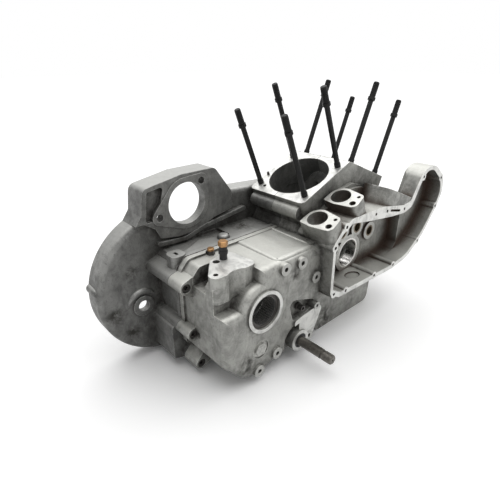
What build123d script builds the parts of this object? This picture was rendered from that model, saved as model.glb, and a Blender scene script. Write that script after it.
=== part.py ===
"""Bare crankcase of a unit-construction 45 degree V-twin motorcycle engine.

Two aluminium castings meet face to face on the plane x = 0: the left one carries the primary
chain wall, the right one the gear case.  The gearbox housing is cast in one with them, behind
the flywheel chamber.  Frame: +X to the gear case side, +Y forward, +Z up, origin on the crank axis.
"""
from build123d import *
from math import cos, hypot, radians, sin
import os

# Flywheel chamber and cylinder decks
CYLINDER_LEAN = 22.5          # each cylinder axis from upright
DECK_HEIGHT = 148.8           # crank axis to deck, along the cylinder
DECK_REACH = 61.0             # deck centre to its outer edge, across the lean
DECK_HALF_WIDTH = 60.0        # parting plane to the deck's side edge
DECK_CORNER = 9.0             # rounding of the deck's outer corners
DECK_BLOCK_DEPTH = 84.0       # deck blocks run down into the chamber wall
MOUTH_RADIUS = 50.9           # cylinder mouth
MOUTH_DEPTH = 62.0            # mouth bore, from the deck into the chamber
CHAMBER_RADIUS = 108.0        # flywheel chamber, inside
CHAMBER_WALL = 10.0           # its round wall
CHAMBER_HALF_WIDTH = 50.0     # its inner side faces, from the parting plane
SUMP_REAR = -84.0             # sump under the flywheels
SUMP_FRONT = 78.0
SUMP_RIGHT = 78.0
SUMP_TOP = -20.0
SUMP_RAKE = 8.0               # its front wall leans forward this far
SUMP_CORNER = 14.0
FLOOR_Z = -128.0              # what the crankcase stands on
BEAD_RADIUS = 11.0            # round bead across the back, under the rear deck
BEAD_Y = -108.0
BEAD_Z = 96.0
MOUNT_Y = 136.0               # front mounting lug
MOUNT_Z = -18.0
MOUNT_RADIUS = 13.0
MOUNT_BORE = 5.2
MOUNT_HALF_WIDTH = 32.0
ARCH_X = 66.0                 # arched ledge along the foot of the deck wall
OIL_HOLE_X = -36.8            # oil return hole in each deck
OIL_HOLE_V = -46.4
OIL_HOLE_RADIUS = 3.0
OIL_HOLE_DEPTH = 25.0

# Cylinder studs
STUD_SPACING_X = 98.2
STUD_SPACING_V = 85.2
STUD_REACH = 134.2            # above the deck
STUD_COLLAR_HEIGHT = 105.0
STUD_COLLAR_LENGTH = 5.0
STUD_COLLAR_RADIUS = 6.2
STUD_SHANK_RADIUS = 4.2
STUD_THREAD_RADIUS = 4.75
STUD_ROOT_RADIUS = 5.0        # lower thread
STUD_SEAT = 22.0              # threaded into the deck
STUD_LOWER_THREAD = 7.0       # lower thread that shows above the deck

PIN_X = -54.5                 # locating pin of each deck
PIN_V = -18.0
PIN_RADIUS = 2.2
PIN_SEAT = 8.0
PIN_PROUD = 5.0

# Gearbox housing
GEARBOX_REAR = -301.0
GEARBOX_FRONT = -102.0
GEARBOX_TOP = 59.0
GEARBOX_BOTTOM = -118.0
GEARBOX_RIGHT = 100.0         # right face, where the output bearing sits
GEARBOX_WALL = 9.0
GEARBOX_END_WALL = 16.0
GEARBOX_ROUND = 10.0          # rounding of the right face's edge
GEARBOX_CORNER = 9.0          # roundings of its outline
GEARBOX_HEART = (-200.0, -25.0)
GEARBOX_LEFT_X = -55.0        # inner side of its left end wall
FLANGE_PROUD = 3.5            # flange along the parting line
FLANGE_HALF = 9.0
CORNER_STEP_X = 78.0          # the rear top right corner is stepped in to here
CORNER_STEP_Z = 8.0
CORNER_STEP_FRONT = -234.0
OUTPUT_Y = -228.0             # output shaft
OUTPUT_Z = -7.5
OUTPUT_BORE = 27.5
OUTPUT_RING = 33.0            # machined ring round the bore
OUTPUT_RING_PROUD = 3.0
OUTPUT_BULGE = 46.0           # swelling of the wall round it
OUTPUT_BULGE_ROUND = 10.0
OUTPUT_INNER_RING = 36.0      # boss round the bore, inside the gearbox
OUTPUT_INNER_X = 68.0
NOTCH_FRONT = -272.0          # notch between the roof lug and the rear bolt boss
NOTCH_FLOOR = 34.0
NOTCH_LEFT = 33.0
NOTCH_RIGHT = 62.0
ROOF_STEP_REAR = -196.0       # the roof is raised ahead of here
ROOF_STEP = 2.5
CUT_SIZE = 120.0              # cuts that run off the part are this long
OVERCUT = 20.0                # a cut or a root runs this far past the surface it ends at
OVERLAP = 1.0                 # joined forms run this far into each other
SMALL_CORNER = 4.0            # rounding of pads, ribs and grooves
FACE_BOSS_RADIUS = 9.5
FACE_BOSS_HOLE = 3.6
FACE_BOSS_PROUD = 4.0
PIVOT_Y = -155.5
PIVOT_Z = -92.5
PIVOT_BOSS = 18.5
PIVOT_END = 107.0             # end face of the boss
PIVOT_MOAT = 31.0             # the face is sunk round the rear of the boss
PIVOT_MOAT_FLOOR = 91.0
PIVOT_HOLE_END = 60.0
PIVOT_HOLE_SPARE = 4.0        # the shaft starts this far from the hole's end
PIVOT_KEEP = 17.0             # solid metal round the hole inside
PIVOT_RADIUS = 8.0
PIVOT_TIP_X = 171.0
PIVOT_THREAD = 20.0           # threaded end of the shaft
PIVOT_THREAD_RADIUS = 7.6
PIVOT_NECK = 6.6
PIVOT_TIP_CHAMFER = 1.2
PIVOT_CENTRE = 1.6            # turning centre in the end of the shaft
PIVOT_CENTRE_DEPTH = 3.0
PLUG_Y = -236.0
PLUG_Z = -70.0
PLUG_RADIUS = 15.0
PLUG_SEAT = 94.0
PLUG_HEX = 11.0
PLUG_HEX_PROUD = 4.0
PLATE_PROUD = 3.0             # raised plate between the pocket and the pivot boss
SENSOR_POCKET_FLOOR = 91.0    # pocket ahead of the pivot boss
SENSOR_TUBE_Y = -120.0
SENSOR_TUBE_Z = -42.0
SENSOR_TUBE_RADIUS = 6.5
SENSOR_TUBE_HOLE = 2.8
SENSOR_TUBE_TIP = 108.0
STUB_Y = -150.0               # steel fitting standing in the pocket
STUB_Z = -36.0
STUB_RADIUS = 4.8
STUB_BORE = 2.6
STUB_TIP = 104.0
STUB_FLANGE = 6.3
STUB_FLANGE_HEIGHT = 4.0
SEAL_RADIUS = 12.5            # seal in the end of the pivot boss
SEAL_LENGTH = 4.0
SWITCH_X = 43.5               # switch standing on the roof lug
SWITCH_Y = -255.0
SWITCH_THREAD = 4.5
SWITCH_SEAT = 10.0
SWITCH_BODY = 5.5
SWITCH_BODY_TOP = 84.0
SWITCH_COLLAR = 6.7
SWITCH_COLLAR_BOTTOM = 73.0
SWITCH_COLLAR_TOP = 77.0
SWITCH_CAP = 7.0
SWITCH_CAP_TOP = 91.5
VENT_X = 11.5                 # short vent beside the parting flange
VENT_Y = -253.0
VENT_SPOT = 7.5
VENT_THREAD = 4.0
VENT_SEAT = 6.0
VENT_HEX = 6.6
VENT_HEX_TOP = 65.0
VENT_CAP = 5.0
VENT_CAP_TOP = 69.0
LUG_TOP = 64.0                # three-lobed machined lug on the roof
LUG_DEPTH = 40.0
LUG_HOLE = 5.0
LUG_SCREW = 3.4
LUG_HOLE_DEPTH = 14.0
SLOT_LUG_X = -15.0            # lug with a slotted hole on the left roof
SLOT_LUG_Y = -295.0
SLOT_LUG_WIDTH = 24.0
SLOT_LUG_TOP = 64.0
SLOT_LUG_DEPTH = 26.0
SLOT_LENGTH = 10.0
SLOT_WIDTH = 4.5

# Tappet pads of the rear cylinder, mirrored for the front one
PAD_HEIGHT = 130.0            # crank axis to pad, along the cylinder
PAD_X = 84.5                  # tappet bore centres
PAD_PITCH = 59.0              # bore to bore, across the lean
PAD_FIRST_V = -61.0
PAD_BORE = 16.0
PAD_TOWER = 46.0              # depth of each pad's tower
FRONT_PAD_DROP = 5.0          # the front pads share a plateau that lies this much lower
PAD_WALL = 4.4                # metal round the holes of a pad
PAD_SCREW = 2.8
PAD_OIL_HOLE = 5.0
PAD_HOLE_X = 27.5             # screw and oil hole, from the bore
PAD_HOLE_V = 8.2
PAD_TIP_X = 18.0              # pointed end of each pad
PAD_TIP_V = 15.0
PAD_TIP_RADIUS = 3.0
PAD_HOLE_DEPTH = 14.0
TAPPET_ROOM = 0.6

# Gear case on the right
GEAR_BACK_X = 71.0            # back wall of its deep part
ARM_BACK_X = 93.0             # back wall of the shallow front arm
ARM_WALL = 5.0
RIM_X = 122.0                 # cover face
PINION_BORE = 28.0
PINION_RING = 35.0
CAM_BORE = 10.5
CAM_RING = 17.0
CAM_RING_PROUD = 4.0
CAM_DEPTH = 14.0
RIM_SLOT_Y = 58.0             # breather slot in the rim
RIM_SLOT_Z = 78.5
RIM_SLOT_ANGLE = -13.4
RIM_SLOT_LENGTH = 34.0
RIM_SLOT_WIDTH = 4.0
RIM_SLOT_DEPTH = 5.0
WELL_X = 98.0                 # oval well in the floor
WELL_Y = -15.0
WELL_LENGTH = 34.0
WELL_WIDTH = 22.0
WELL_FLOOR = -32.0
CAM_PLACES = [(-62, 26), (-21, 44), (21, 44), (62, 26)]
COVER_SCREW_RADIUS = 2.6
COVER_BOSS_RADIUS = 6.8
COVER_SCREW_DEPTH = 16.0

# Bearings
NEEDLE_COUNT = 40
NEEDLE_RADIUS = 1.75
SHELL_WALL = 2.2
SHELL_LIP = 1.2
SHELL_START = 72.0
SHELL_END = 99.0
PINION_RACE_BORE = 24.0
PINION_RACE_START = 54.0
BUSHING_BORE = 8.0
MAIN_RACE_BORE = 31.0
MAIN_RACE_START = -73.0
MAIN_CLIP = 2.0               # thickness of the clip behind the race
CLIP_DEPTH = 3.0
CLIP_GAP = 12.0
RACE_CHAMFER = 1.0
CAP_CHAMFER = 0.8

# Primary chain wall on the left
PRIMARY_WALL_X = -62.0        # inboard face of the wall
PRIMARY_WALL = 7.0
PRIMARY_RIM_X = -95.0         # cover face
PRIMARY_SKIN = 6.0
PRIMARY_ROUND = 8.0           # rounding between the wall and its skirt
PRIMARY_SCREW_COUNT = 15
PRIMARY_SCREW_BOSS = 7.5
PRIMARY_SCREW_INSET = 4.0     # screws lie inside the outline
PRIMARY_SCREW_RADIUS = 2.6
PRIMARY_SCREW_DEPTH = 16.0
MAIN_BORE = 36.0              # left main bearing seat
MAIN_BOSS = 48.0
MAIN_SCREW_CIRCLE = 42.0      # screws on the boss round it
MAIN_SCREW_RADIUS = 2.6
DOOR_REAR = -278.0            # opening of the gearbox door
DOOR_FRONT = -160.0
DOOR_BOTTOM = -82.0
DOOR_TOP = 40.0
DOOR_CORNER = 16.0
DOOR_SCREW_RADIUS = 3.2
DOOR_SCREW_MARGIN = 9.0
PRIMARY_REAR = -400.0         # rearmost point of its outline
PRIMARY_FRONT = 108.0
STARTER_BOX_CORNER = 12.0
STARTER_BOX_HOLLOW = 5.0
STARTER_Y = -245.0
STARTER_Z = 118.0
STARTER_RADIUS = 32.2
STARTER_PAD = 7.0             # starter box stands inboard of the wall
STARTER_RING = 40.0
STARTER_RING_PROUD = 1.5
STARTER_BOLTS = [(-217, 148), (-293, 106)]
STARTER_BOLT_RADIUS = 5.5
STARTER_EAR = 11.5
WALL_HOLE_Y = -333.0          # hole through the wall, behind the gearbox
WALL_HOLE_Z = -29.0
WALL_HOLE_RADIUS = 9.0
WALL_HOLE_BOSS = 17.0
WALL_HOLE_PROUD = 3.0

# Case bolts and dowels
CASE_BOLT_RADIUS = 4.0
CASE_BOSS_RADIUS = 10.0
CASE_BOSS_REACH = 32.0        # bosses end here on the right half
CASE_BOSS_TAIL = 16.0         # each is blended into the wall over this length
REAR_BOSS_FEET = [(-262.0, 50.0, 9.0), (-285.0, 20.0, 12.0)]
CASE_BOLT_SEAT = 22.0         # the heads are sunk to here
CASE_BOLT_HEAD = 6.2
CASE_BOLT_HEAD_LENGTH = 8.0
CASE_BOLT_ROOM = 0.8
CASE_BOLT_SOCKET = 3.4
CASE_BOLT_DEPTH = 40.0        # threaded into the left half
DOWEL_RADIUS = 6.0            # ring dowels round two of the bolts
DOWEL_BORE = 4.4
DOWEL_HALF = 6.0
DOWEL_BOLTS = [(-305, -47), (124, 20)]

# Small forms on the left half
FOOT_INNER_X = -6.0           # rear foot below the gearbox flange ends here
WALL_RIB_PROUD = 8.0
ROOF_GROOVE_DEPTH = 4.0
DOME_X = -22.0
DOME_Y = -203.0
DOME_RADIUS = 10.0
DOME_HEIGHT = 7.0

lean_sin = sin(radians(CYLINDER_LEAN))
lean_cos = cos(radians(CYLINDER_LEAN))

GEARBOX_OUTLINE = [
    (GEARBOX_REAR, -72), (GEARBOX_REAR, GEARBOX_TOP - 13), (GEARBOX_REAR + 12, GEARBOX_TOP),
    (GEARBOX_FRONT - 2, GEARBOX_TOP), (GEARBOX_FRONT, -53), (-119, -106), (-203, -108),
    (-240, GEARBOX_BOTTOM), (-268, GEARBOX_BOTTOM + 8),
]
# Gear case rim and hollow: y, z and the rounding of each corner
RIM_OUTLINE = [
    (-108, -22, 7), (-109, 66, 7), (-92, 83, 7), (-68, 96, 7), (17, 95, 40), (84, 82, 20), (108, 84, 14),
    (133, 124, 25), (150, 137, 42), (184, 136, 42), (222, 110, 42), (234, 80, 38), (222, 50, 110),
    (177, -5, 110), (129, -35, 76), (80, -41, 40), (-84, -35, 7),
]
CAVITY_OUTLINE = [
    (-102, -15, 6), (-103, 62, 6), (-88, 77, 6), (-66, 88, 6), (-22, 80, 20), (49, 70, 40), (90, 66, 20),
    (116, 72, 14), (141, 118, 34), (154, 130, 25), (178, 129, 34), (212, 105, 36), (226, 80, 31),
    (214, 53, 88),
    (172, 2, 108), (126, -27, 70), (80, -33, 40), (-80, -27, 6),
]
DEEP_CORNER = 7.0
DEEP_OUTLINE = [
    (-108, -22), (-109, 66), (-92, 83), (-68, 96), (17, 95), (84, 82), (118, 80), (140, 60), (142, -22),
    (129, -35), (80, -41), (-84, -35),
]
DEEP_CAVITY = [
    (-102, -15), (-103, 62), (-88, 77), (-66, 88), (-22, 80), (49, 70), (112, 68), (133, 52), (134, -14),
    (122, -28), (80, -33), (-80, -27),
]
STARTER_BOX = [(-332, 101), (-321, 116), (-316, 152), (-250, 163), (-190, 163), (-158, 119), (-30, 110)]
PRIMARY_FOOT = (-317, -121)
PRIMARY_SOLE = (-40, -114)
COVER_SCREWS = [
    (-105, 59), (-81, 86), (-3, 87), (31, 84), (89, 74), (143, 121), (216, 106), (214, 50), (164, -10),
    (81, -34), (18, -33), (-66, -30), (-98, -24),
]
STARTER_BASE = [
    (-345, 102), (-318, 102), (-301, 90), (-294, 74), (-262, 68), (-228, 70), (-196, 82), (-158, 90),
    (-158, 180), (-345, 180),
]
STARTER_RECESS = [(-309, 147), (-282, 151), (-290, 124), (-301, 103), (-315, 103)]
FOOT_CORNER = 6.0
FOOT_OUTLINE = [(-319, -108), (-319, -50), (-290, -40), (-280, -116)]
ARCH = [(-29, 120), (6, 125), (57, 108), (92, 95), (92, 84), (57, 97), (6, 113), (-29, 109)]
POCKET = [(-166, -26, 10), (-162, -46, 8), (-128, -38, 8)]
PLATE = [(-131, -97, 9), (-112, -56, 9), (-158, -60, 8)]
LUG_LOBES = [(73, -291, 10), (73, -239, 11), (37, -242, 9), (44, -268, 9)]
LUG_SCOOP = (103, -265, 24)
WALL_RIB = [(-300, 62), (-253, 58), (-214, 69), (-128, 80), (-128, 87), (-214, 76), (-253, 65), (-300, 69)]
ROOF_GROOVE = [
    (-61, -294), (-31, -294), (-21, -281), (-28, -264), (-42, -236), (-36, -217), (-22, -198),
    (-28, -186), (-61, -186),
]
CASE_BOLTS = [(-311, 33), (-305, -47), (-295, -105), (-150, -114), (111, -56), (124, 20), (98, 84)]
FACE_BOSSES = [(-191, 47), (-156, 45), (-122, 9), (-131, -97), (-204, -93), (-241, -106)]


def side(x):
    """Sketch plane square to the crank axis at x, seen with +Y to the right and +Z up."""
    return Plane.YZ.offset(x)


def leaning_plane(front, height):
    """Plane square to one cylinder axis, its local x along the crank axis."""
    lean = lean_sin if front else -lean_sin
    return Plane(origin=(0, height * lean, height * lean_cos), x_dir=(1, 0, 0), z_dir=(0, lean, lean_cos))


def rounded_polygon(points, radius):
    """Closed outline through the points, its corners rounded."""
    with BuildSketch() as outline:
        with BuildLine():
            Polyline(*points, close=True)
        make_face()
        fillet(outline.vertices(), radius)
    return outline.sketch


def curved_polygon(corners):
    """Closed outline through corners given as (y, z, radius)."""
    with BuildSketch() as outline:
        with BuildLine():
            FilletPolyline(*[(y, z) for y, z, radius in corners],
                           radius=[radius for y, z, radius in corners], close=True)
        make_face()
    return outline.sketch


def primary_outline():
    """Outline of the primary chain wall: rear round, starter box, straight top and front round."""
    with BuildSketch() as outline:
        with BuildLine():
            ThreePointArc(PRIMARY_FOOT, (PRIMARY_REAR, -4), STARTER_BOX[0])
            Polyline(*STARTER_BOX)
            ThreePointArc(STARTER_BOX[-1], (PRIMARY_FRONT, 0), PRIMARY_SOLE)
            Polyline(PRIMARY_SOLE, (-290, FLOOR_Z), PRIMARY_FOOT)
        make_face()
        fillet(outline.vertices().filter_by_position(Axis.Y, 130, 180), STARTER_BOX_CORNER)
        fillet(outline.vertices().filter_by_position(Axis.Y, 112, 130), STARTER_BOX_HOLLOW)
    return outline.sketch


def slab(outline, x_start, x_end):
    """Outline of the side plane carried from x_start to x_end."""
    with BuildPart() as body:
        with BuildSketch(side(min(x_start, x_end))):
            add(outline)
        extrude(amount=abs(x_end - x_start))
    return body.part


def rod(y, z, radius, x_start, x_end):
    """Round bar along the crank axis direction."""
    with BuildPart() as body:
        with BuildSketch(side(min(x_start, x_end))):
            with Locations((y, z)):
                Circle(radius)
        extrude(amount=abs(x_end - x_start))
    return body.part


def post(x, y, radius, z_start, z_end):
    """Upright round bar."""
    with BuildPart() as body:
        with BuildSketch(Plane.XY.offset(z_start)):
            with Locations((x, y)):
                Circle(radius)
        extrude(amount=z_end - z_start)
    return body.part


def ring(places, outer, inner, x_start, x_end):
    """Equal rings along the crank axis direction, one at each (y, z) place."""
    with BuildPart() as body:
        with BuildSketch(side(x_start)):
            with Locations(*places):
                Circle(outer)
                Circle(inner, mode=Mode.SUBTRACT)
        extrude(amount=x_end - x_start)
    return body.part


def hull_of(circles):
    """Outline wrapped tightly round circles given as (x, y, radius)."""
    with BuildSketch() as outline:
        with BuildLine():
            for x, y, radius in circles:
                CenterArc((x, y), radius, 0, 360)
        make_hull()
    return outline.sketch


def sump_outline():
    """Section of the sump under the flywheel chamber."""
    return rounded_polygon([(SUMP_REAR, FLOOR_Z), (SUMP_FRONT, FLOOR_Z), (SUMP_FRONT + SUMP_RAKE, SUMP_TOP),
                            (SUMP_REAR, SUMP_TOP)], SUMP_CORNER)


def deck_blocks(sign, chamber_reach):
    """Flywheel chamber, sump, mounting lug and both deck blocks of one half, still solid."""
    with BuildPart() as body:
        with BuildSketch(side(0)):
            Circle(CHAMBER_RADIUS + CHAMBER_WALL)
        extrude(amount=sign * chamber_reach)
        with BuildSketch(side(0)):
            add(sump_outline())
        extrude(amount=sign * (chamber_reach - OVERLAP))
        for front in (False, True):
            outward = 1 if front else -1
            with BuildSketch(leaning_plane(front, DECK_HEIGHT)) as deck:
                with BuildLine():
                    Polyline((0, -DECK_REACH), (sign * DECK_HALF_WIDTH, -DECK_REACH),
                             (sign * DECK_HALF_WIDTH, DECK_REACH), (0, DECK_REACH), close=True)
                make_face()
                outer_corner = deck.vertices().sort_by_distance(
                    (sign * DECK_HALF_WIDTH, outward * DECK_REACH))[0]
                fillet(outer_corner, DECK_CORNER)
            extrude(amount=-DECK_BLOCK_DEPTH)
        add(rod(BEAD_Y, BEAD_Z, BEAD_RADIUS, 0, sign * (DECK_HALF_WIDTH - 8)))
        lug_root = (CHAMBER_RADIUS - 8, MOUNT_Z / 2, 2 * MOUNT_RADIUS)
        add(slab(hull_of([(MOUNT_Y, MOUNT_Z, MOUNT_RADIUS), lug_root]), 0, sign * MOUNT_HALF_WIDTH))
    return body.part


def gearbox_flange(sign):
    """Flange round the gearbox along the parting plane."""
    with BuildPart() as body:
        with BuildSketch(side(0)):
            add(rounded_polygon(GEARBOX_OUTLINE, GEARBOX_CORNER))
            offset(amount=FLANGE_PROUD)
            with Locations((GEARBOX_FRONT - FLANGE_HALF, 0)):
                Rectangle(CUT_SIZE, 3 * CUT_SIZE, align=(Align.MIN, Align.CENTER), mode=Mode.SUBTRACT)
        extrude(amount=sign * FLANGE_HALF)
    return body.part


def corner_step(margin):
    """Rectangle of the stepped rear top corner, widened inwards by a margin."""
    with BuildSketch() as outline:
        with Locations((CORNER_STEP_FRONT + margin, CORNER_STEP_Z - margin)):
            Rectangle(CUT_SIZE, CUT_SIZE, align=(Align.MAX, Align.MIN))
    return outline.sketch


def right_face_block():
    """Outer part of the right gearbox half, beside the stepped corner, with its edge rounded."""
    with BuildPart() as body:
        with BuildSketch(side(CORNER_STEP_X - OVERCUT)):
            add(rounded_polygon(GEARBOX_OUTLINE, GEARBOX_CORNER))
            add(corner_step(0), mode=Mode.SUBTRACT)
        extrude(amount=GEARBOX_RIGHT - CORNER_STEP_X + OVERCUT)
        fillet(body.faces().sort_by(Axis.X)[-1].edges(), GEARBOX_ROUND)
    return body.part


def output_bulge():
    """Rounded swelling of the right wall round the output bearing."""
    with BuildPart() as body:
        with BuildSketch(side(CORNER_STEP_X - OVERCUT / 2)):
            with Locations((OUTPUT_Y, OUTPUT_Z)):
                Circle(OUTPUT_BULGE)
        extrude(amount=GEARBOX_RIGHT - CORNER_STEP_X + OVERCUT / 2)
        fillet(body.faces().sort_by(Axis.X)[-1].edges(), OUTPUT_BULGE_ROUND)
    return body.part


def gearbox_hollow(behind_step):
    """Section of the gearbox hollow; behind the stepped corner it is kept smaller."""
    with BuildSketch() as outline:
        add(rounded_polygon(GEARBOX_OUTLINE, GEARBOX_CORNER))
        offset(amount=-GEARBOX_WALL)
        with Locations((NOTCH_FRONT + GEARBOX_WALL, NOTCH_FLOOR - GEARBOX_WALL)):
            Rectangle(CUT_SIZE, CUT_SIZE, align=(Align.MAX, Align.MIN), mode=Mode.SUBTRACT)
        if behind_step:
            add(corner_step(GEARBOX_WALL), mode=Mode.SUBTRACT)
            with Locations((OUTPUT_Y, OUTPUT_Z)):
                Circle(OUTPUT_BULGE - GEARBOX_WALL)
            with Locations((PIVOT_Y, PIVOT_Z)):
                Circle(PIVOT_KEEP, mode=Mode.SUBTRACT)
        Circle(CHAMBER_RADIUS + CHAMBER_WALL, mode=Mode.SUBTRACT)
        with Locations(*CASE_BOLTS):
            Circle(CASE_BOSS_RADIUS, mode=Mode.SUBTRACT)
    return outline.sketch


def bolt_bosses(sign, reach):
    """Bosses of the bolts that hold the halves together, each drawn out from the wall beside it."""
    with BuildPart() as body:
        for y, z in CASE_BOLTS:
            heart_y, heart_z = GEARBOX_HEART if y < GEARBOX_FRONT else (0, 0)
            pull = CASE_BOSS_TAIL / hypot(y - heart_y, z - heart_z)
            root = (y + (heart_y - y) * pull, z + (heart_z - z) * pull, CASE_BOSS_RADIUS + 1)
            with BuildSketch(side(0)):
                add(hull_of([(y, z, CASE_BOSS_RADIUS), root]))
            extrude(amount=sign * reach)
        # The top rear boss runs up into the roof
        with BuildSketch(side(0)):
            add(hull_of([CASE_BOLTS[0] + (CASE_BOSS_RADIUS,)] + REAR_BOSS_FEET))
        extrude(amount=sign * reach)
    return body.part


def shared_hollows(sign, gearbox_depth):
    """What is cut from either half: chamber, mouths, gearbox and stud holes."""
    with BuildPart() as body:
        with BuildSketch(side(0)):
            Circle(CHAMBER_RADIUS)
        extrude(amount=sign * CHAMBER_HALF_WIDTH)
        with BuildSketch(side(0)):
            add(gearbox_hollow(False))
        extrude(amount=sign * gearbox_depth)
        for front in (False, True):
            with BuildSketch(leaning_plane(front, DECK_HEIGHT)):
                Circle(MOUTH_RADIUS)
            extrude(amount=-MOUTH_DEPTH)
            with BuildSketch(leaning_plane(front, DECK_HEIGHT)):
                with GridLocations(STUD_SPACING_X, STUD_SPACING_V, 2, 2):
                    Circle(STUD_ROOT_RADIUS)
            extrude(amount=-STUD_SEAT)
        add(rod(MOUNT_Y, MOUNT_Z, MOUNT_BORE, 0, sign * MOUNT_HALF_WIDTH))
        with BuildSketch(side(0)):
            with Locations(*CASE_BOLTS):
                Circle(CASE_BOLT_RADIUS)
        extrude(amount=sign * CASE_BOLT_DEPTH)
        with BuildSketch(side(0)):
            with Locations(*DOWEL_BOLTS):
                Circle(DOWEL_RADIUS)
        extrude(amount=sign * DOWEL_HALF)
    return body.part


# Tappet pads: two towers for the rear cylinder and one plateau for the front one
def pad_bores_of(front):
    """The two tappet bores of one cylinder, as places across its lean."""
    first = -PAD_FIRST_V if front else PAD_FIRST_V
    second = first - PAD_PITCH if front else first + PAD_PITCH
    return [first, second]


def pad_plane(front):
    """Plane of the pads of one cylinder."""
    return leaning_plane(front, PAD_HEIGHT - FRONT_PAD_DROP if front else PAD_HEIGHT)


def pad_circles(front, v):
    """Circles round one tappet bore, its oil hole, its screw and its pointed end."""
    turn = -1 if front else 1
    return [(PAD_X, v, PAD_BORE + PAD_WALL),
            (PAD_X + PAD_HOLE_X, v + turn * PAD_HOLE_V, PAD_SCREW + PAD_WALL),
            (PAD_X + PAD_HOLE_X, v - turn * PAD_HOLE_V, PAD_OIL_HOLE + PAD_WALL),
            (PAD_X - PAD_TIP_X, v - turn * PAD_TIP_V, PAD_TIP_RADIUS)]


def pad_towers():
    """Solid towers of the pads."""
    with BuildPart() as body:
        rear_one, rear_two = pad_bores_of(False)
        front_one, front_two = pad_bores_of(True)
        for circles in (pad_circles(False, rear_one), pad_circles(False, rear_two)):
            with BuildSketch(pad_plane(False)):
                add(hull_of(circles))
            extrude(amount=-PAD_TOWER)
        with BuildSketch(pad_plane(True)):
            add(hull_of(pad_circles(True, front_one) + pad_circles(True, front_two)))
        extrude(amount=-PAD_TOWER)
    return body.part


def pad_bores():
    """Tappet bores, screw holes and oil holes of the four pads."""
    with BuildPart() as body:
        for front in (False, True):
            turn = -1 if front else 1
            for v in pad_bores_of(front):
                with BuildSketch(pad_plane(front)):
                    with Locations((PAD_X, v)):
                        Circle(PAD_BORE)
                extrude(amount=-PAD_TOWER - 4)
                # The tappet's way out, past the arm of the gear case
                with BuildSketch(pad_plane(front)):
                    with Locations((PAD_X, v)):
                        Circle(PAD_BORE + TAPPET_ROOM)
                extrude(amount=PAD_TOWER)
                with BuildSketch(pad_plane(front)):
                    with Locations((PAD_X + PAD_HOLE_X, v + turn * PAD_HOLE_V)):
                        Circle(PAD_SCREW)
                    with Locations((PAD_X + PAD_HOLE_X, v - turn * PAD_HOLE_V)):
                        Circle(PAD_OIL_HOLE)
                extrude(amount=-PAD_HOLE_DEPTH)
    return body.part


def three_lobed_lug():
    """Machined lug on the roof, with three lobes and a scooped side."""
    scoop_x, scoop_y, scoop_radius = LUG_SCOOP
    with BuildPart() as body:
        with BuildSketch(Plane.XY.offset(LUG_TOP)):
            add(hull_of(LUG_LOBES))
            with Locations((scoop_x, scoop_y)):
                Circle(scoop_radius, mode=Mode.SUBTRACT)
        extrude(amount=-LUG_DEPTH)
        with BuildSketch(Plane.XY.offset(LUG_TOP)):
            with Locations(LUG_LOBES[0][:2]):
                Circle(LUG_SCREW)
            with Locations(LUG_LOBES[3][:2]):
                Circle(LUG_HOLE)
        extrude(amount=-LUG_HOLE_DEPTH, mode=Mode.SUBTRACT)
    return body.part


def slotted_lug():
    """Lug on the left roof with a slotted hole."""
    with BuildPart() as body:
        with BuildSketch(Plane.XY.offset(SLOT_LUG_TOP)):
            with Locations((SLOT_LUG_X, SLOT_LUG_Y)):
                RectangleRounded(SLOT_LUG_WIDTH, SLOT_LUG_WIDTH, SLOT_LUG_WIDTH / 3)
        extrude(amount=-SLOT_LUG_DEPTH)
        with BuildSketch(Plane.XY.offset(SLOT_LUG_TOP)):
            with Locations((SLOT_LUG_X, SLOT_LUG_Y)):
                SlotCenterToCenter(SLOT_LENGTH - SLOT_WIDTH, SLOT_WIDTH)
        extrude(amount=-LUG_HOLE_DEPTH, mode=Mode.SUBTRACT)
    return body.part


def primary_wall():
    """Primary chain wall with its skirt, rounded towards the gearbox, and the starter box."""
    with BuildPart() as body:
        with BuildSketch(side(PRIMARY_RIM_X)):
            add(primary_outline())
        extrude(amount=PRIMARY_WALL_X - PRIMARY_RIM_X)
        fillet(body.faces().sort_by(Axis.X)[-1].edges(), PRIMARY_ROUND)
    return body.part


def starter_box():
    """Inboard part of the starter box: its outline, a sunk panel and the ring with two ears."""
    with BuildPart() as body:
        with BuildSketch(side(PRIMARY_WALL_X - PRIMARY_ROUND)):
            add(primary_outline())
            add(rounded_polygon(STARTER_BASE, SMALL_CORNER), mode=Mode.INTERSECT)
        extrude(amount=PRIMARY_ROUND + STARTER_PAD)
        with BuildSketch(side(PRIMARY_WALL_X)):
            add(rounded_polygon(STARTER_RECESS, SMALL_CORNER))
        extrude(amount=STARTER_PAD, mode=Mode.SUBTRACT)
        ears = [(y, z, STARTER_EAR) for y, z in STARTER_BOLTS]
        add(slab(hull_of([(STARTER_Y, STARTER_Z, STARTER_RING)] + ears), PRIMARY_WALL_X,
                 PRIMARY_WALL_X + STARTER_PAD + STARTER_RING_PROUD))
    return body.part


def primary_screw_places():
    """Places of the cover screws, evenly spaced just inside the wall's outline."""
    with BuildSketch() as inset:
        add(primary_outline())
        offset(amount=-PRIMARY_SCREW_INSET)
    path = inset.wires().sort_by(SortBy.LENGTH)[-1]
    return [path @ (number / PRIMARY_SCREW_COUNT) for number in range(PRIMARY_SCREW_COUNT)]


def door_screw_places():
    """Places of the screws round the opening of the gearbox door."""
    rear, front = DOOR_REAR - DOOR_SCREW_MARGIN, DOOR_FRONT + DOOR_SCREW_MARGIN
    low, high = DOOR_BOTTOM + DOOR_CORNER, DOOR_TOP - DOOR_CORNER
    return [(y, z) for y in (rear, front) for z in (low, (low + high) / 2, high)]


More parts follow.
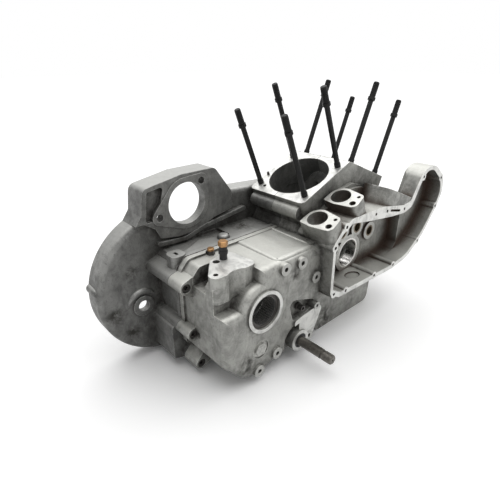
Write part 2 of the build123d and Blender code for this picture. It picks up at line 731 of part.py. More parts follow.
with BuildPart() as right_case:
    add(deck_blocks(1, CHAMBER_HALF_WIDTH + CHAMBER_WALL - 1))
    add(slab(rounded_polygon(GEARBOX_OUTLINE, GEARBOX_CORNER), 0, CORNER_STEP_X))
    add(right_face_block())
    add(output_bulge())
    add(gearbox_flange(1))
    # Raised front of the roof
    with BuildSketch(Plane.XY.offset(GEARBOX_TOP - ROOF_STEP)):
        with Locations((FLANGE_HALF, ROOF_STEP_REAR)):
            Rectangle(GEARBOX_RIGHT - GEARBOX_ROUND - FLANGE_HALF, GEARBOX_FRONT - ROOF_STEP_REAR - 10,
                      align=(Align.MIN, Align.MIN))
    extrude(amount=2 * ROOF_STEP)
    # Notch behind the roof lug
    with BuildSketch(side(NOTCH_LEFT)):
        with Locations((NOTCH_FRONT, NOTCH_FLOOR)):
            Rectangle(CUT_SIZE, CUT_SIZE, align=(Align.MAX, Align.MIN))
    extrude(amount=NOTCH_RIGHT - NOTCH_LEFT, mode=Mode.SUBTRACT)
    add(three_lobed_lug())
    # Wall between chamber and gear case, sump end, gear case block and arm
    add(rod(0, 0, CHAMBER_RADIUS + CHAMBER_WALL, CHAMBER_HALF_WIDTH, GEAR_BACK_X))
    add(slab(sump_outline(), CHAMBER_HALF_WIDTH, SUMP_RIGHT))
    add(slab(rounded_polygon(DEEP_OUTLINE, DEEP_CORNER), CHAMBER_HALF_WIDTH, ARM_BACK_X - ARM_WALL))
    with BuildSketch(side(ARM_BACK_X - ARM_WALL)):
        add(curved_polygon(RIM_OUTLINE))
        with Locations(*COVER_SCREWS):
            Circle(COVER_BOSS_RADIUS)
    extrude(amount=RIM_X - ARM_BACK_X + ARM_WALL)
    add(pad_towers())
    add(slab(rounded_polygon(ARCH, SMALL_CORNER), DECK_HALF_WIDTH - 4, ARCH_X))
    add(bolt_bosses(1, CASE_BOSS_REACH))
    # Bosses on the gearbox's right face
    with BuildSketch(side(GEARBOX_RIGHT - OVERCUT)):
        with Locations(*FACE_BOSSES):
            Circle(FACE_BOSS_RADIUS)
    extrude(amount=OVERCUT + FACE_BOSS_PROUD)
    add(rod(OUTPUT_Y, OUTPUT_Z, OUTPUT_RING, GEARBOX_RIGHT - 6, GEARBOX_RIGHT + OUTPUT_RING_PROUD))
    add(slab(hull_of(PLATE), GEARBOX_RIGHT - 6, GEARBOX_RIGHT + PLATE_PROUD))
    # Hollows
    add(shared_hollows(1, CORNER_STEP_X - GEARBOX_WALL), mode=Mode.SUBTRACT)
    with BuildSketch(side(CORNER_STEP_X - GEARBOX_WALL - 1)):
        add(gearbox_hollow(True))
    extrude(amount=GEARBOX_RIGHT - GEARBOX_END_WALL - CORNER_STEP_X + GEARBOX_WALL + 1, mode=Mode.SUBTRACT)
    add(rod(OUTPUT_Y, OUTPUT_Z, OUTPUT_INNER_RING, OUTPUT_INNER_X, GEARBOX_RIGHT - 6))
    with BuildSketch(side(PIVOT_MOAT_FLOOR)):
        with Locations((PIVOT_Y, PIVOT_Z)):
            Circle(PIVOT_MOAT)
            Rectangle(PIVOT_MOAT, 2 * PIVOT_MOAT, align=(Align.MIN, Align.CENTER), mode=Mode.SUBTRACT)
            Circle(PIVOT_BOSS, mode=Mode.SUBTRACT)
    extrude(amount=2 * OVERCUT, mode=Mode.SUBTRACT)
    add(rod(PIVOT_Y, PIVOT_Z, PIVOT_BOSS, PIVOT_HOLE_END, PIVOT_END))
    with BuildSketch(side(ARM_BACK_X)):
        add(curved_polygon(CAVITY_OUTLINE))
        with Locations(*COVER_SCREWS):
            Circle(COVER_BOSS_RADIUS, mode=Mode.SUBTRACT)
    extrude(amount=3 * OVERCUT, mode=Mode.SUBTRACT)
    with BuildSketch(side(GEAR_BACK_X)):
        add(rounded_polygon(DEEP_CAVITY, DEEP_CORNER - 1))
        with Locations(*COVER_SCREWS):
            Circle(COVER_BOSS_RADIUS, mode=Mode.SUBTRACT)
    extrude(amount=ARM_BACK_X - GEAR_BACK_X, mode=Mode.SUBTRACT)
    with BuildSketch(Plane.XY.offset(WELL_FLOOR)):
        with Locations((WELL_X, WELL_Y)):
            Ellipse(WELL_WIDTH / 2, WELL_LENGTH / 2)
    extrude(amount=-WELL_FLOOR / 2, mode=Mode.SUBTRACT)
    with BuildSketch(side(RIM_X)):
        with Locations(Location((RIM_SLOT_Y, RIM_SLOT_Z), RIM_SLOT_ANGLE)):
            SlotOverall(RIM_SLOT_LENGTH, RIM_SLOT_WIDTH)
    extrude(amount=-RIM_SLOT_DEPTH, mode=Mode.SUBTRACT)
    # Bearing rings inside the gear case
    add(rod(0, 0, PINION_RING, CHAMBER_HALF_WIDTH, GEAR_BACK_X + CAM_RING_PROUD))
    with BuildSketch(side(GEAR_BACK_X)):
        with Locations(*CAM_PLACES):
            Circle(CAM_RING)
    extrude(amount=CAM_RING_PROUD)
    with BuildSketch(side(GEAR_BACK_X + CAM_RING_PROUD)):
        with Locations(*CAM_PLACES):
            Circle(CAM_BORE)
    extrude(amount=-CAM_DEPTH, mode=Mode.SUBTRACT)
    add(rod(0, 0, PINION_BORE, CHAMBER_HALF_WIDTH - 1, GEAR_BACK_X + OVERCUT), mode=Mode.SUBTRACT)
    add(pad_bores(), mode=Mode.SUBTRACT)
    add(rod(OUTPUT_Y, OUTPUT_Z, OUTPUT_BORE, OUTPUT_INNER_X - 5, GEARBOX_RIGHT + OVERCUT), mode=Mode.SUBTRACT)
    add(rod(PIVOT_Y, PIVOT_Z, PIVOT_RADIUS, PIVOT_HOLE_END + PIVOT_HOLE_SPARE, GEARBOX_RIGHT + OVERCUT),
        mode=Mode.SUBTRACT)
    add(rod(PIVOT_Y, PIVOT_Z, SEAL_RADIUS, PIVOT_END - SEAL_LENGTH, PIVOT_END + OVERCUT), mode=Mode.SUBTRACT)
    add(rod(PLUG_Y, PLUG_Z, PLUG_RADIUS, PLUG_SEAT, GEARBOX_RIGHT + OVERCUT), mode=Mode.SUBTRACT)
    # Seats of the switch and of the vent on the roof
    add(post(SWITCH_X, SWITCH_Y, SWITCH_THREAD, LUG_TOP - SWITCH_SEAT, LUG_TOP + OVERCUT), mode=Mode.SUBTRACT)
    add(post(VENT_X, VENT_Y, VENT_SPOT, GEARBOX_TOP, GEARBOX_TOP + OVERCUT), mode=Mode.SUBTRACT)
    add(post(VENT_X, VENT_Y, VENT_THREAD, GEARBOX_TOP - VENT_SEAT, GEARBOX_TOP + OVERCUT), mode=Mode.SUBTRACT)
    # Room for the heads of the case bolts
    with BuildSketch(side(CASE_BOLT_SEAT)):
        with Locations(*CASE_BOLTS):
            Circle(CASE_BOLT_HEAD + CASE_BOLT_ROOM)
    extrude(amount=CASE_BOSS_REACH - CASE_BOLT_SEAT + CASE_BOSS_RADIUS, mode=Mode.SUBTRACT)
    # Sensor pocket ahead of the pivot boss, with its standing tube
    with BuildSketch(side(SENSOR_POCKET_FLOOR)):
        add(hull_of(POCKET))
    extrude(amount=2 * OVERCUT, mode=Mode.SUBTRACT)
    add(rod(SENSOR_TUBE_Y, SENSOR_TUBE_Z, SENSOR_TUBE_RADIUS, SENSOR_POCKET_FLOOR - 2, SENSOR_TUBE_TIP))
    with BuildSketch(side(GEARBOX_RIGHT - 14)):
        with Locations(*FACE_BOSSES):
            Circle(FACE_BOSS_HOLE)
        with Locations((SENSOR_TUBE_Y, SENSOR_TUBE_Z)):
            Circle(SENSOR_TUBE_HOLE)
    extrude(amount=3 * OVERCUT, mode=Mode.SUBTRACT)
    with BuildSketch(side(RIM_X)):
        with Locations(*COVER_SCREWS):
            Circle(COVER_SCREW_RADIUS)
    extrude(amount=-COVER_SCREW_DEPTH, mode=Mode.SUBTRACT)
right_case.part.label = "right_case"

with BuildPart() as left_case:
    wall_back_x = PRIMARY_WALL_X - PRIMARY_ROUND
    add(deck_blocks(-1, -wall_back_x))
    add(slab(rounded_polygon(GEARBOX_OUTLINE, GEARBOX_CORNER), wall_back_x, 0))
    add(gearbox_flange(-1))
    add(bolt_bosses(-1, -wall_back_x))
    add(primary_wall())
    add(starter_box())
    add(slab(rounded_polygon(WALL_RIB, SMALL_CORNER - 1), PRIMARY_WALL_X - 1,
             PRIMARY_WALL_X + WALL_RIB_PROUD))
    add(slab(rounded_polygon(FOOT_OUTLINE, FOOT_CORNER), wall_back_x, FOOT_INNER_X))
    # Groove beside the roof, dome and slotted lug on it
    with BuildSketch(Plane.XY.offset(GEARBOX_TOP - ROOF_GROOVE_DEPTH)):
        add(rounded_polygon(ROOF_GROOVE, SMALL_CORNER))
    extrude(amount=ROOF_GROOVE_DEPTH, mode=Mode.SUBTRACT)
    add(post(DOME_X, DOME_Y, DOME_RADIUS, GEARBOX_TOP - ROOF_GROOVE_DEPTH - 1, GEARBOX_TOP + DOME_HEIGHT))
    fillet(left_case.edges().filter_by(GeomType.CIRCLE).sort_by_distance(
        (DOME_X, DOME_Y, GEARBOX_TOP + DOME_HEIGHT))[0], DOME_HEIGHT - 1)
    add(slotted_lug())
    # Hollows
    with BuildSketch(side(PRIMARY_RIM_X)):
        add(primary_outline())
        offset(amount=-PRIMARY_SKIN)
        with Locations(*primary_screw_places()):
            Circle(PRIMARY_SCREW_BOSS, mode=Mode.SUBTRACT)
    extrude(amount=PRIMARY_WALL_X - PRIMARY_WALL - PRIMARY_RIM_X, mode=Mode.SUBTRACT)
    with BuildSketch(side(PRIMARY_RIM_X)):
        with Locations(*primary_screw_places()):
            Circle(PRIMARY_SCREW_RADIUS)
    extrude(amount=PRIMARY_SCREW_DEPTH, mode=Mode.SUBTRACT)
    add(rod(0, 0, MAIN_BOSS, PRIMARY_WALL_X - 2 * PRIMARY_WALL, -CHAMBER_HALF_WIDTH))
    add(shared_hollows(-1, -GEARBOX_LEFT_X), mode=Mode.SUBTRACT)
    add(rod(0, 0, MAIN_BORE, PRIMARY_RIM_X, -CHAMBER_HALF_WIDTH + 1), mode=Mode.SUBTRACT)
    with BuildSketch(side(PRIMARY_WALL_X - 2 * PRIMARY_WALL)):
        with PolarLocations(MAIN_SCREW_CIRCLE, 4, 45):
            Circle(MAIN_SCREW_RADIUS)
    extrude(amount=PRIMARY_WALL, mode=Mode.SUBTRACT)
    # Gearbox door and its screw holes
    with BuildSketch(side(PRIMARY_RIM_X)):
        with Locations(((DOOR_REAR + DOOR_FRONT) / 2, (DOOR_BOTTOM + DOOR_TOP) / 2)):
            RectangleRounded(DOOR_FRONT - DOOR_REAR, DOOR_TOP - DOOR_BOTTOM, DOOR_CORNER)
        with Locations(*door_screw_places()):
            Circle(DOOR_SCREW_RADIUS)
    extrude(amount=GEARBOX_LEFT_X + 5 - PRIMARY_RIM_X, mode=Mode.SUBTRACT)
    # Holes of the starter, its bolts and the wall
    with BuildSketch(side(PRIMARY_RIM_X)):
        with Locations((STARTER_Y, STARTER_Z)):
            Circle(STARTER_RADIUS)
        with Locations(*STARTER_BOLTS):
            Circle(STARTER_BOLT_RADIUS)
    extrude(amount=-PRIMARY_RIM_X - 2 * OVERCUT, mode=Mode.SUBTRACT)
    add(rod(WALL_HOLE_Y, WALL_HOLE_Z, WALL_HOLE_BOSS, PRIMARY_WALL_X - PRIMARY_WALL,
            PRIMARY_WALL_X + WALL_HOLE_PROUD))
    add(rod(WALL_HOLE_Y, WALL_HOLE_Z, WALL_HOLE_RADIUS, PRIMARY_RIM_X, PRIMARY_WALL_X + WALL_HOLE_PROUD),
        mode=Mode.SUBTRACT)
    for front in (False, True):
        with BuildSketch(leaning_plane(front, DECK_HEIGHT)):
            with Locations((PIN_X, -PIN_V if front else PIN_V)):
                Circle(PIN_RADIUS)
        extrude(amount=-PIN_SEAT, mode=Mode.SUBTRACT)
        with BuildSketch(leaning_plane(front, DECK_HEIGHT)):
            with Locations((OIL_HOLE_X, -OIL_HOLE_V if front else OIL_HOLE_V)):
                Circle(OIL_HOLE_RADIUS)
        extrude(amount=-OIL_HOLE_DEPTH, mode=Mode.SUBTRACT)
left_case.part.label = "left_case"


def stud(front, x, v):
    """One cylinder stud: lower thread, shank, collar and upper thread."""
    with BuildPart() as body:
        with BuildSketch(leaning_plane(front, DECK_HEIGHT - STUD_SEAT)):
            with Locations((x, v)):
                Circle(STUD_ROOT_RADIUS)
        extrude(amount=STUD_SEAT + STUD_LOWER_THREAD)
        with BuildSketch(leaning_plane(front, DECK_HEIGHT + STUD_LOWER_THREAD)):
            with Locations((x, v)):
                Circle(STUD_SHANK_RADIUS)
        extrude(amount=STUD_COLLAR_HEIGHT - STUD_LOWER_THREAD)
        with BuildSketch(leaning_plane(front, DECK_HEIGHT + STUD_COLLAR_HEIGHT)):
            with Locations((x, v)):
                Circle(STUD_COLLAR_RADIUS)
        extrude(amount=STUD_COLLAR_LENGTH)
        with BuildSketch(leaning_plane(front, DECK_HEIGHT + STUD_COLLAR_HEIGHT + STUD_COLLAR_LENGTH)):
            with Locations((x, v)):
                Circle(STUD_THREAD_RADIUS)
        extrude(amount=STUD_REACH - STUD_COLLAR_HEIGHT - STUD_COLLAR_LENGTH)
        chamfer(body.faces().sort_by(Axis.Z)[-1].edges(), CAP_CHAMFER)
    return body.part


def stud_set(front):
    """The four studs of one cylinder, as separate solids."""
    with BuildPart() as group:
        for x in (-STUD_SPACING_X / 2, STUD_SPACING_X / 2):
            for v in (-STUD_SPACING_V / 2, STUD_SPACING_V / 2):
                add(stud(front, x, v))
    return group.part


with BuildPart() as rear_cylinder_studs:
    add(stud_set(False))
rear_cylinder_studs.part.label = "rear_cylinder_studs"

with BuildPart() as front_cylinder_studs:
    add(stud_set(True))
front_cylinder_studs.part.label = "front_cylinder_studs"

# Locating pins of the decks
with BuildPart() as deck_pins:
    for front in (False, True):
        with BuildSketch(leaning_plane(front, DECK_HEIGHT - PIN_SEAT)):
            with Locations((PIN_X, -PIN_V if front else PIN_V)):
                Circle(PIN_RADIUS)
        extrude(amount=PIN_SEAT + PIN_PROUD)
deck_pins.part.label = "deck_pins"

# Drawn cup of the output bearing: thin shell with a lip at each end, and its needles
with BuildPart() as output_bearing_shell:
    add(ring([(OUTPUT_Y, OUTPUT_Z)], OUTPUT_BORE, OUTPUT_BORE - SHELL_WALL, SHELL_START, SHELL_END))
    lip_bore = OUTPUT_BORE - SHELL_WALL - 2 * NEEDLE_RADIUS + 1
    add(ring([(OUTPUT_Y, OUTPUT_Z)], OUTPUT_BORE, lip_bore, SHELL_START, SHELL_START + SHELL_LIP))
    add(ring([(OUTPUT_Y, OUTPUT_Z)], OUTPUT_BORE, lip_bore, SHELL_END - SHELL_LIP, SHELL_END))
output_bearing_shell.part.label = "output_bearing_shell"

with BuildPart() as output_bearing_needles:
    with BuildSketch(side(SHELL_START + SHELL_LIP)):
        with Locations((OUTPUT_Y, OUTPUT_Z)):
            with PolarLocations(OUTPUT_BORE - SHELL_WALL - NEEDLE_RADIUS, NEEDLE_COUNT):
                Circle(NEEDLE_RADIUS)
    extrude(amount=SHELL_END - SHELL_START - 2 * SHELL_LIP)
output_bearing_needles.part.label = "output_bearing_needles"

with BuildPart() as pinion_bearing_race:
    add(ring([(0, 0)], PINION_BORE, PINION_RACE_BORE, PINION_RACE_START, GEAR_BACK_X + CAM_RING_PROUD))
    chamfer(pinion_bearing_race.edges().filter_by(GeomType.CIRCLE).sort_by(SortBy.RADIUS)[:2], RACE_CHAMFER)
pinion_bearing_race.part.label = "pinion_bearing_race"

with BuildPart() as cam_bushings:
    bushing_end = GEAR_BACK_X + CAM_RING_PROUD
    add(ring(CAM_PLACES, CAM_BORE, BUSHING_BORE, bushing_end - CAM_DEPTH, bushing_end))
cam_bushings.part.label = "cam_bushings"

with BuildPart() as left_main_race:
    add(ring([(0, 0)], MAIN_BORE, MAIN_RACE_BORE, MAIN_RACE_START, -CHAMBER_HALF_WIDTH))
    chamfer(left_main_race.edges().filter_by(GeomType.CIRCLE).sort_by(SortBy.RADIUS)[:2], RACE_CHAMFER)
left_main_race.part.label = "left_main_race"

# Open retaining ring against the outer end of the left race
with BuildPart() as left_race_clip:
    add(ring([(0, 0)], MAIN_BORE, MAIN_BORE - CLIP_DEPTH, MAIN_RACE_START - MAIN_CLIP, MAIN_RACE_START))
    with BuildSketch(side(MAIN_RACE_START - MAIN_CLIP)):
        with Locations((0, MAIN_BORE)):
            Rectangle(CLIP_GAP, OVERCUT)
    extrude(amount=MAIN_CLIP, mode=Mode.SUBTRACT)
left_race_clip.part.label = "left_race_clip"

# Pivot shaft: plain shank, groove and threaded end with a centre hole
with BuildPart() as pivot_shaft:
    add(rod(PIVOT_Y, PIVOT_Z, PIVOT_RADIUS, PIVOT_HOLE_END + PIVOT_HOLE_SPARE, PIVOT_TIP_X - PIVOT_THREAD))
    add(rod(PIVOT_Y, PIVOT_Z, PIVOT_NECK, PIVOT_TIP_X - PIVOT_THREAD - 1, PIVOT_TIP_X))
    add(rod(PIVOT_Y, PIVOT_Z, PIVOT_THREAD_RADIUS, PIVOT_TIP_X - PIVOT_THREAD + 3, PIVOT_TIP_X))
    chamfer(pivot_shaft.faces().sort_by(Axis.X)[-1].edges(), PIVOT_TIP_CHAMFER)
    add(rod(PIVOT_Y, PIVOT_Z, PIVOT_CENTRE, PIVOT_TIP_X - PIVOT_CENTRE_DEPTH, PIVOT_TIP_X + 1),
        mode=Mode.SUBTRACT)
pivot_shaft.part.label = "pivot_shaft"

with BuildPart() as pivot_seal:
    add(ring([(PIVOT_Y, PIVOT_Z)], SEAL_RADIUS, PIVOT_RADIUS, PIVOT_END - SEAL_LENGTH, PIVOT_END))
pivot_seal.part.label = "pivot_seal"

with BuildPart() as gearbox_plug:
    add(rod(PLUG_Y, PLUG_Z, PLUG_RADIUS, PLUG_SEAT, GEARBOX_RIGHT - 2))
    with BuildSketch(side(GEARBOX_RIGHT - 2)):
        with Locations((PLUG_Y, PLUG_Z)):
            RegularPolygon(PLUG_HEX, 6)
    extrude(amount=PLUG_HEX_PROUD)
gearbox_plug.part.label = "gearbox_plug"

# Switch on the roof lug: threaded body and brass cap
with BuildPart() as switch_body:
    add(post(SWITCH_X, SWITCH_Y, SWITCH_THREAD, LUG_TOP - SWITCH_SEAT, LUG_TOP))
    add(post(SWITCH_X, SWITCH_Y, SWITCH_BODY, LUG_TOP, SWITCH_BODY_TOP))
    add(post(SWITCH_X, SWITCH_Y, SWITCH_COLLAR, SWITCH_COLLAR_BOTTOM, SWITCH_COLLAR_TOP))
switch_body.part.label = "switch_body"

with BuildPart() as switch_cap:
    with BuildSketch(Plane.XY.offset(SWITCH_BODY_TOP)):
        with Locations((SWITCH_X, SWITCH_Y)):
            RegularPolygon(SWITCH_CAP, 6)
    extrude(amount=SWITCH_CAP_TOP - SWITCH_BODY_TOP)
    chamfer(switch_cap.faces().sort_by(Axis.Z)[-1].edges(), CAP_CHAMFER)
switch_cap.part.label = "switch_cap"

with BuildPart() as vent_body:
    add(post(VENT_X, VENT_Y, VENT_THREAD, GEARBOX_TOP - VENT_SEAT, GEARBOX_TOP))
    with BuildSketch(Plane.XY.offset(GEARBOX_TOP)):
        with Locations((VENT_X, VENT_Y)):
            RegularPolygon(VENT_HEX, 6)
    extrude(amount=VENT_HEX_TOP - GEARBOX_TOP)
vent_body.part.label = "vent_body"

with BuildPart() as vent_cap:
    add(post(VENT_X, VENT_Y, VENT_CAP, VENT_HEX_TOP, VENT_CAP_TOP))
    chamfer(vent_cap.faces().sort_by(Axis.Z)[-1].edges(), CAP_CHAMFER)
vent_cap.part.label = "vent_cap"

with BuildPart() as pocket_fitting:
    add(rod(STUB_Y, STUB_Z, STUB_RADIUS, SENSOR_POCKET_FLOOR, STUB_TIP))
    add(rod(STUB_Y, STUB_Z, STUB_FLANGE, SENSOR_POCKET_FLOOR, SENSOR_POCKET_FLOOR + STUB_FLANGE_HEIGHT))
    add(rod(STUB_Y, STUB_Z, STUB_BORE, SENSOR_POCKET_FLOOR + 2, STUB_TIP + 1), mode=Mode.SUBTRACT)
pocket_fitting.part.label = "pocket_fitting"

# Socket screws that hold the halves together, and the ring dowels round two of them
with BuildPart() as case_bolts:
    head_end = CASE_BOLT_SEAT + CASE_BOLT_HEAD_LENGTH
    with BuildSketch(side(-CASE_BOLT_DEPTH)):
        with Locations(*CASE_BOLTS):
            Circle(CASE_BOLT_RADIUS)
    extrude(amount=CASE_BOLT_DEPTH + CASE_BOLT_SEAT)
    with BuildSketch(side(CASE_BOLT_SEAT)):
        with Locations(*CASE_BOLTS):
            Circle(CASE_BOLT_HEAD)
    extrude(amount=CASE_BOLT_HEAD_LENGTH)
    with BuildSketch(side(head_end)):
        with Locations(*CASE_BOLTS):
            RegularPolygon(CASE_BOLT_SOCKET, 6)
    extrude(amount=-CASE_BOLT_HEAD_LENGTH / 2, mode=Mode.SUBTRACT)
case_bolts.part.label = "case_bolts"

with BuildPart() as case_dowels:
    add(ring(DOWEL_BOLTS, DOWEL_RADIUS, DOWEL_BORE, -DOWEL_HALF, DOWEL_HALF))
case_dowels.part.label = "case_dowels"

os.makedirs("parts", exist_ok=True)
export_step(right_case.part, "parts/right_case.step")
export_step(left_case.part, "parts/left_case.step")
export_step(rear_cylinder_studs.part, "parts/rear_cylinder_studs.step")
export_step(front_cylinder_studs.part, "parts/front_cylinder_studs.step")
export_step(deck_pins.part, "parts/deck_pins.step")
export_step(output_bearing_shell.part, "parts/output_bearing_shell.step")
export_step(output_bearing_needles.part, "parts/output_bearing_needles.step")
export_step(pinion_bearing_race.part, "parts/pinion_bearing_race.step")
export_step(cam_bushings.part, "parts/cam_bushings.step")
export_step(left_main_race.part, "parts/left_main_race.step")
export_step(left_race_clip.part, "parts/left_race_clip.step")
export_step(pivot_shaft.part, "parts/pivot_shaft.step")
export_step(pivot_seal.part, "parts/pivot_seal.step")
export_step(gearbox_plug.part, "parts/gearbox_plug.step")
export_step(switch_body.part, "parts/switch_body.step")
export_step(switch_cap.part, "parts/switch_cap.step")
export_step(vent_body.part, "parts/vent_body.step")
export_step(vent_cap.part, "parts/vent_cap.step")
export_step(pocket_fitting.part, "parts/pocket_fitting.step")
export_step(case_bolts.part, "parts/case_bolts.step")
export_step(case_dowels.part, "parts/case_dowels.step")
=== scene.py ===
import math
import random

import bmesh
import bpy
from bpy.props import FloatProperty, FloatVectorProperty, PointerProperty
from mathutils import Matrix, Vector


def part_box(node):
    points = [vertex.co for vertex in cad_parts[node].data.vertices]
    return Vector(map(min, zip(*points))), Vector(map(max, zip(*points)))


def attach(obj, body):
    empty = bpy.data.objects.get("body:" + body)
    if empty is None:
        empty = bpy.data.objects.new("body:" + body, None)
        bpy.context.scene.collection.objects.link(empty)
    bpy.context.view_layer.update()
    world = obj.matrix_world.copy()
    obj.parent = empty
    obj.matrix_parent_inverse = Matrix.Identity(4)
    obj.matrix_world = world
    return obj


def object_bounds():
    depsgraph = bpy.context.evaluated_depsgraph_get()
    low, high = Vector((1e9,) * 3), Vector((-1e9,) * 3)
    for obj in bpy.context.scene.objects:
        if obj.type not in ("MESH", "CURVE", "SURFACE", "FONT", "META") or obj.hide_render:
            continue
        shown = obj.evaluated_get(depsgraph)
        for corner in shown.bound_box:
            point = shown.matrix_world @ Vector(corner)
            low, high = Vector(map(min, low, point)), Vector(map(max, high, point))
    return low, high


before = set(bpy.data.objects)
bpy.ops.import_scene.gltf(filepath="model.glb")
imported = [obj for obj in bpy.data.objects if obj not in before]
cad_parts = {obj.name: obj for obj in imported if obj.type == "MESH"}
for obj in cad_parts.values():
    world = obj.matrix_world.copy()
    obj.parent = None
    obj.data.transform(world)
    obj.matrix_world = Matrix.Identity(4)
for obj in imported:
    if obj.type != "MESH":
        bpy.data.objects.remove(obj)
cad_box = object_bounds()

bl_info = {
    "name": "V-twin crankcase finish",
    "version": (1, 0, 0),
    "blender": (4, 5, 0),
    "location": "3D View > Sidebar > Crankcase",
    "description": "Cast, machined and steel finishes, threads and small parts of a bare crankcase",
    "category": "Object",
}

# Directions and lengths in metres, with the crank axis through the origin
LEAN = math.radians(22.5)
REAR_UP = Vector((0, -math.sin(LEAN), math.cos(LEAN)))
FRONT_UP = Vector((0, math.sin(LEAN), math.cos(LEAN)))
CRANK_AXIS = Vector((1, 0, 0))
UPWARD = Vector((0, 0, 1))
FLOOR_Z = cad_box[0][2]
DECK_HEIGHT = 0.1488
STUD_HALF_PITCH_X = 0.0491
STUD_HALF_PITCH_V = 0.0426
STUD_COLLAR_TOP = 0.110
STUD_REACH = 0.1342
STUD_TOP_RADIUS = 0.00475
STUD_FOOT_RADIUS = 0.0050
STUD_FOOT_THREAD = 0.0066
SHAFT_RADIUS = 0.0076
SHAFT_THREAD = 0.0155
SHAFT_THREAD_START = 0.0168
GEARBOX_TOP = 0.059
GEARBOX_REAR = -0.301
ROOF_STEP_REAR = -0.196
ROOF_STEP_RIGHT = 0.09
ROOF_STEP_FRONT = -0.116
ROOF_STEP_CORNER = 0.008
SEAM_FLANGE = 0.0035
SEAM_HALF_WIDTH = 0.00045
WALL_X = -0.062
WALL_HOLE = Vector((WALL_X, -0.333, -0.029))
EAR_Y = -0.3945
EAR_Z = 0.013

# Machined faces: the direction they face, their distance along it and how bright they are
REAR_DECK = (REAR_UP, DECK_HEIGHT, 1.0)
FRONT_DECK = (FRONT_UP, DECK_HEIGHT, 1.0)
REAR_TAPPET_PADS = (REAR_UP, 0.130, 0.32)
FRONT_TAPPET_PADS = (FRONT_UP, 0.125, 0.32)
ROOF_LUGS = (UPWARD, 0.064, 1.0)
GEAR_CASE_RIM = (CRANK_AXIS, 0.122, 0.95)
OUTPUT_RING_AND_PLATE = (CRANK_AXIS, 0.103, 0.9)
FACE_BOSSES = (CRANK_AXIS, 0.104, 0.35)
PIVOT_BOSS = (CRANK_AXIS, 0.107, 0.9)
POCKET_TUBE = (CRANK_AXIS, 0.108, 0.6)
CAM_RINGS = (CRANK_AXIS, 0.075, 0.45)
CHAIN_CASE_RIM = (-CRANK_AXIS, 0.095, 0.9)
MAIN_BEARING_BOSS = (-CRANK_AXIS, 0.076, 0.6)
RIGHT_FACES = (REAR_DECK, FRONT_DECK, REAR_TAPPET_PADS, FRONT_TAPPET_PADS, ROOF_LUGS, GEAR_CASE_RIM,
               OUTPUT_RING_AND_PLATE, FACE_BOSSES, PIVOT_BOSS, POCKET_TUBE, CAM_RINGS)
LEFT_FACES = (REAR_DECK, FRONT_DECK, CHAIN_CASE_RIM, MAIN_BEARING_BOSS)

# Blotches of old grease: centre and radius
RIGHT_STAINS = (
    ((0.095, -0.272, 0.046), 0.024), ((0.098, -0.262, -0.085), 0.022), ((0.085, -0.115, 0.045), 0.030),
    ((0.100, -0.165, 0.030), 0.016), ((0.070, -0.060, -0.110), 0.034),
)
LEFT_STAINS = (
    ((WALL_X, -0.377, -0.030), 0.020), ((WALL_X, -0.352, -0.070), 0.022), ((WALL_X, -0.345, 0.030), 0.015),
    ((WALL_X, -0.300, -0.080), 0.030), ((-0.045, -0.150, 0.062), 0.035),
)

# Noise scales of the finishes, in cells a metre
PATCH_SCALE = 11
SMUDGE_SCALE = 48
OXIDE_SCALE = 62
DENT_SCALE = 130
RUN_SCALE = 150
SPECK_SCALE = 380
STEEL_CLOUD_SCALE = 240
SCRATCH_SCALE = 1400
RUN_STRETCH = (1.0, 1.0, 0.16)

# Relief of the finishes: strength and depth
CAST_RELIEF = (0.6, 0.0007)
STEEL_RELIEF = (0.35, 0.0003)
STEEL_EDGE_ROUND = 0.0005

# Where old oil ends inside the gear case: none of it, then all of it
OIL_AT_RIM = (0.1216, 0.1200)
OIL_AT_BACK = (0.068, 0.0702)
OIL_AT_REAR = (-0.106, -0.100)
OIL_AHEAD = (-0.05, 0.10)

SEAM_COLOUR = (0.02, 0.02, 0.02)
SEALANT_COLOUR = (0.03, 0.026, 0.022)
PIVOT_COLOUR = (0.16, 0.15, 0.135)
RUBBER_COLOUR = (0.02, 0.02, 0.02)
PLUG_COLOUR = (0.55, 0.55, 0.52)
STUD_RING_PITCH = 0.0015

CAMERA_PLACE = (0.437257, -0.556711, 0.314493)
SENSOR_WIDTH = 36
SIGHT = 50
FLOOR_SIZE = 12
FLOOR_TONE = 0.55
LIGHT_DIRECTION = Vector((0.03, -0.27, -1))


def colour_property(name, description, default):
    """A colour the user can change."""
    return FloatVectorProperty(name=name, description=description, subtype="COLOR", size=3,
                               default=default, min=0, max=1)


def length_property(name, description, default):
    """A length in metres the user can change."""
    return FloatProperty(name=name, description=description, subtype="DISTANCE", unit="LENGTH",
                         default=default, min=0)


def angle_property(name, description, degrees):
    """An angle the user can change."""
    return FloatProperty(name=name, description=description, subtype="ANGLE", unit="ROTATION",
                         default=math.radians(degrees))


def share_property(name, description, default):
    """A share of one the user can change."""
    return FloatProperty(name=name, description=description, subtype="FACTOR", default=default, min=0, max=1)


def strength_property(name, description, default):
    """A strength of light the user can change."""
    return FloatProperty(name=name, description=description, default=default, min=0)


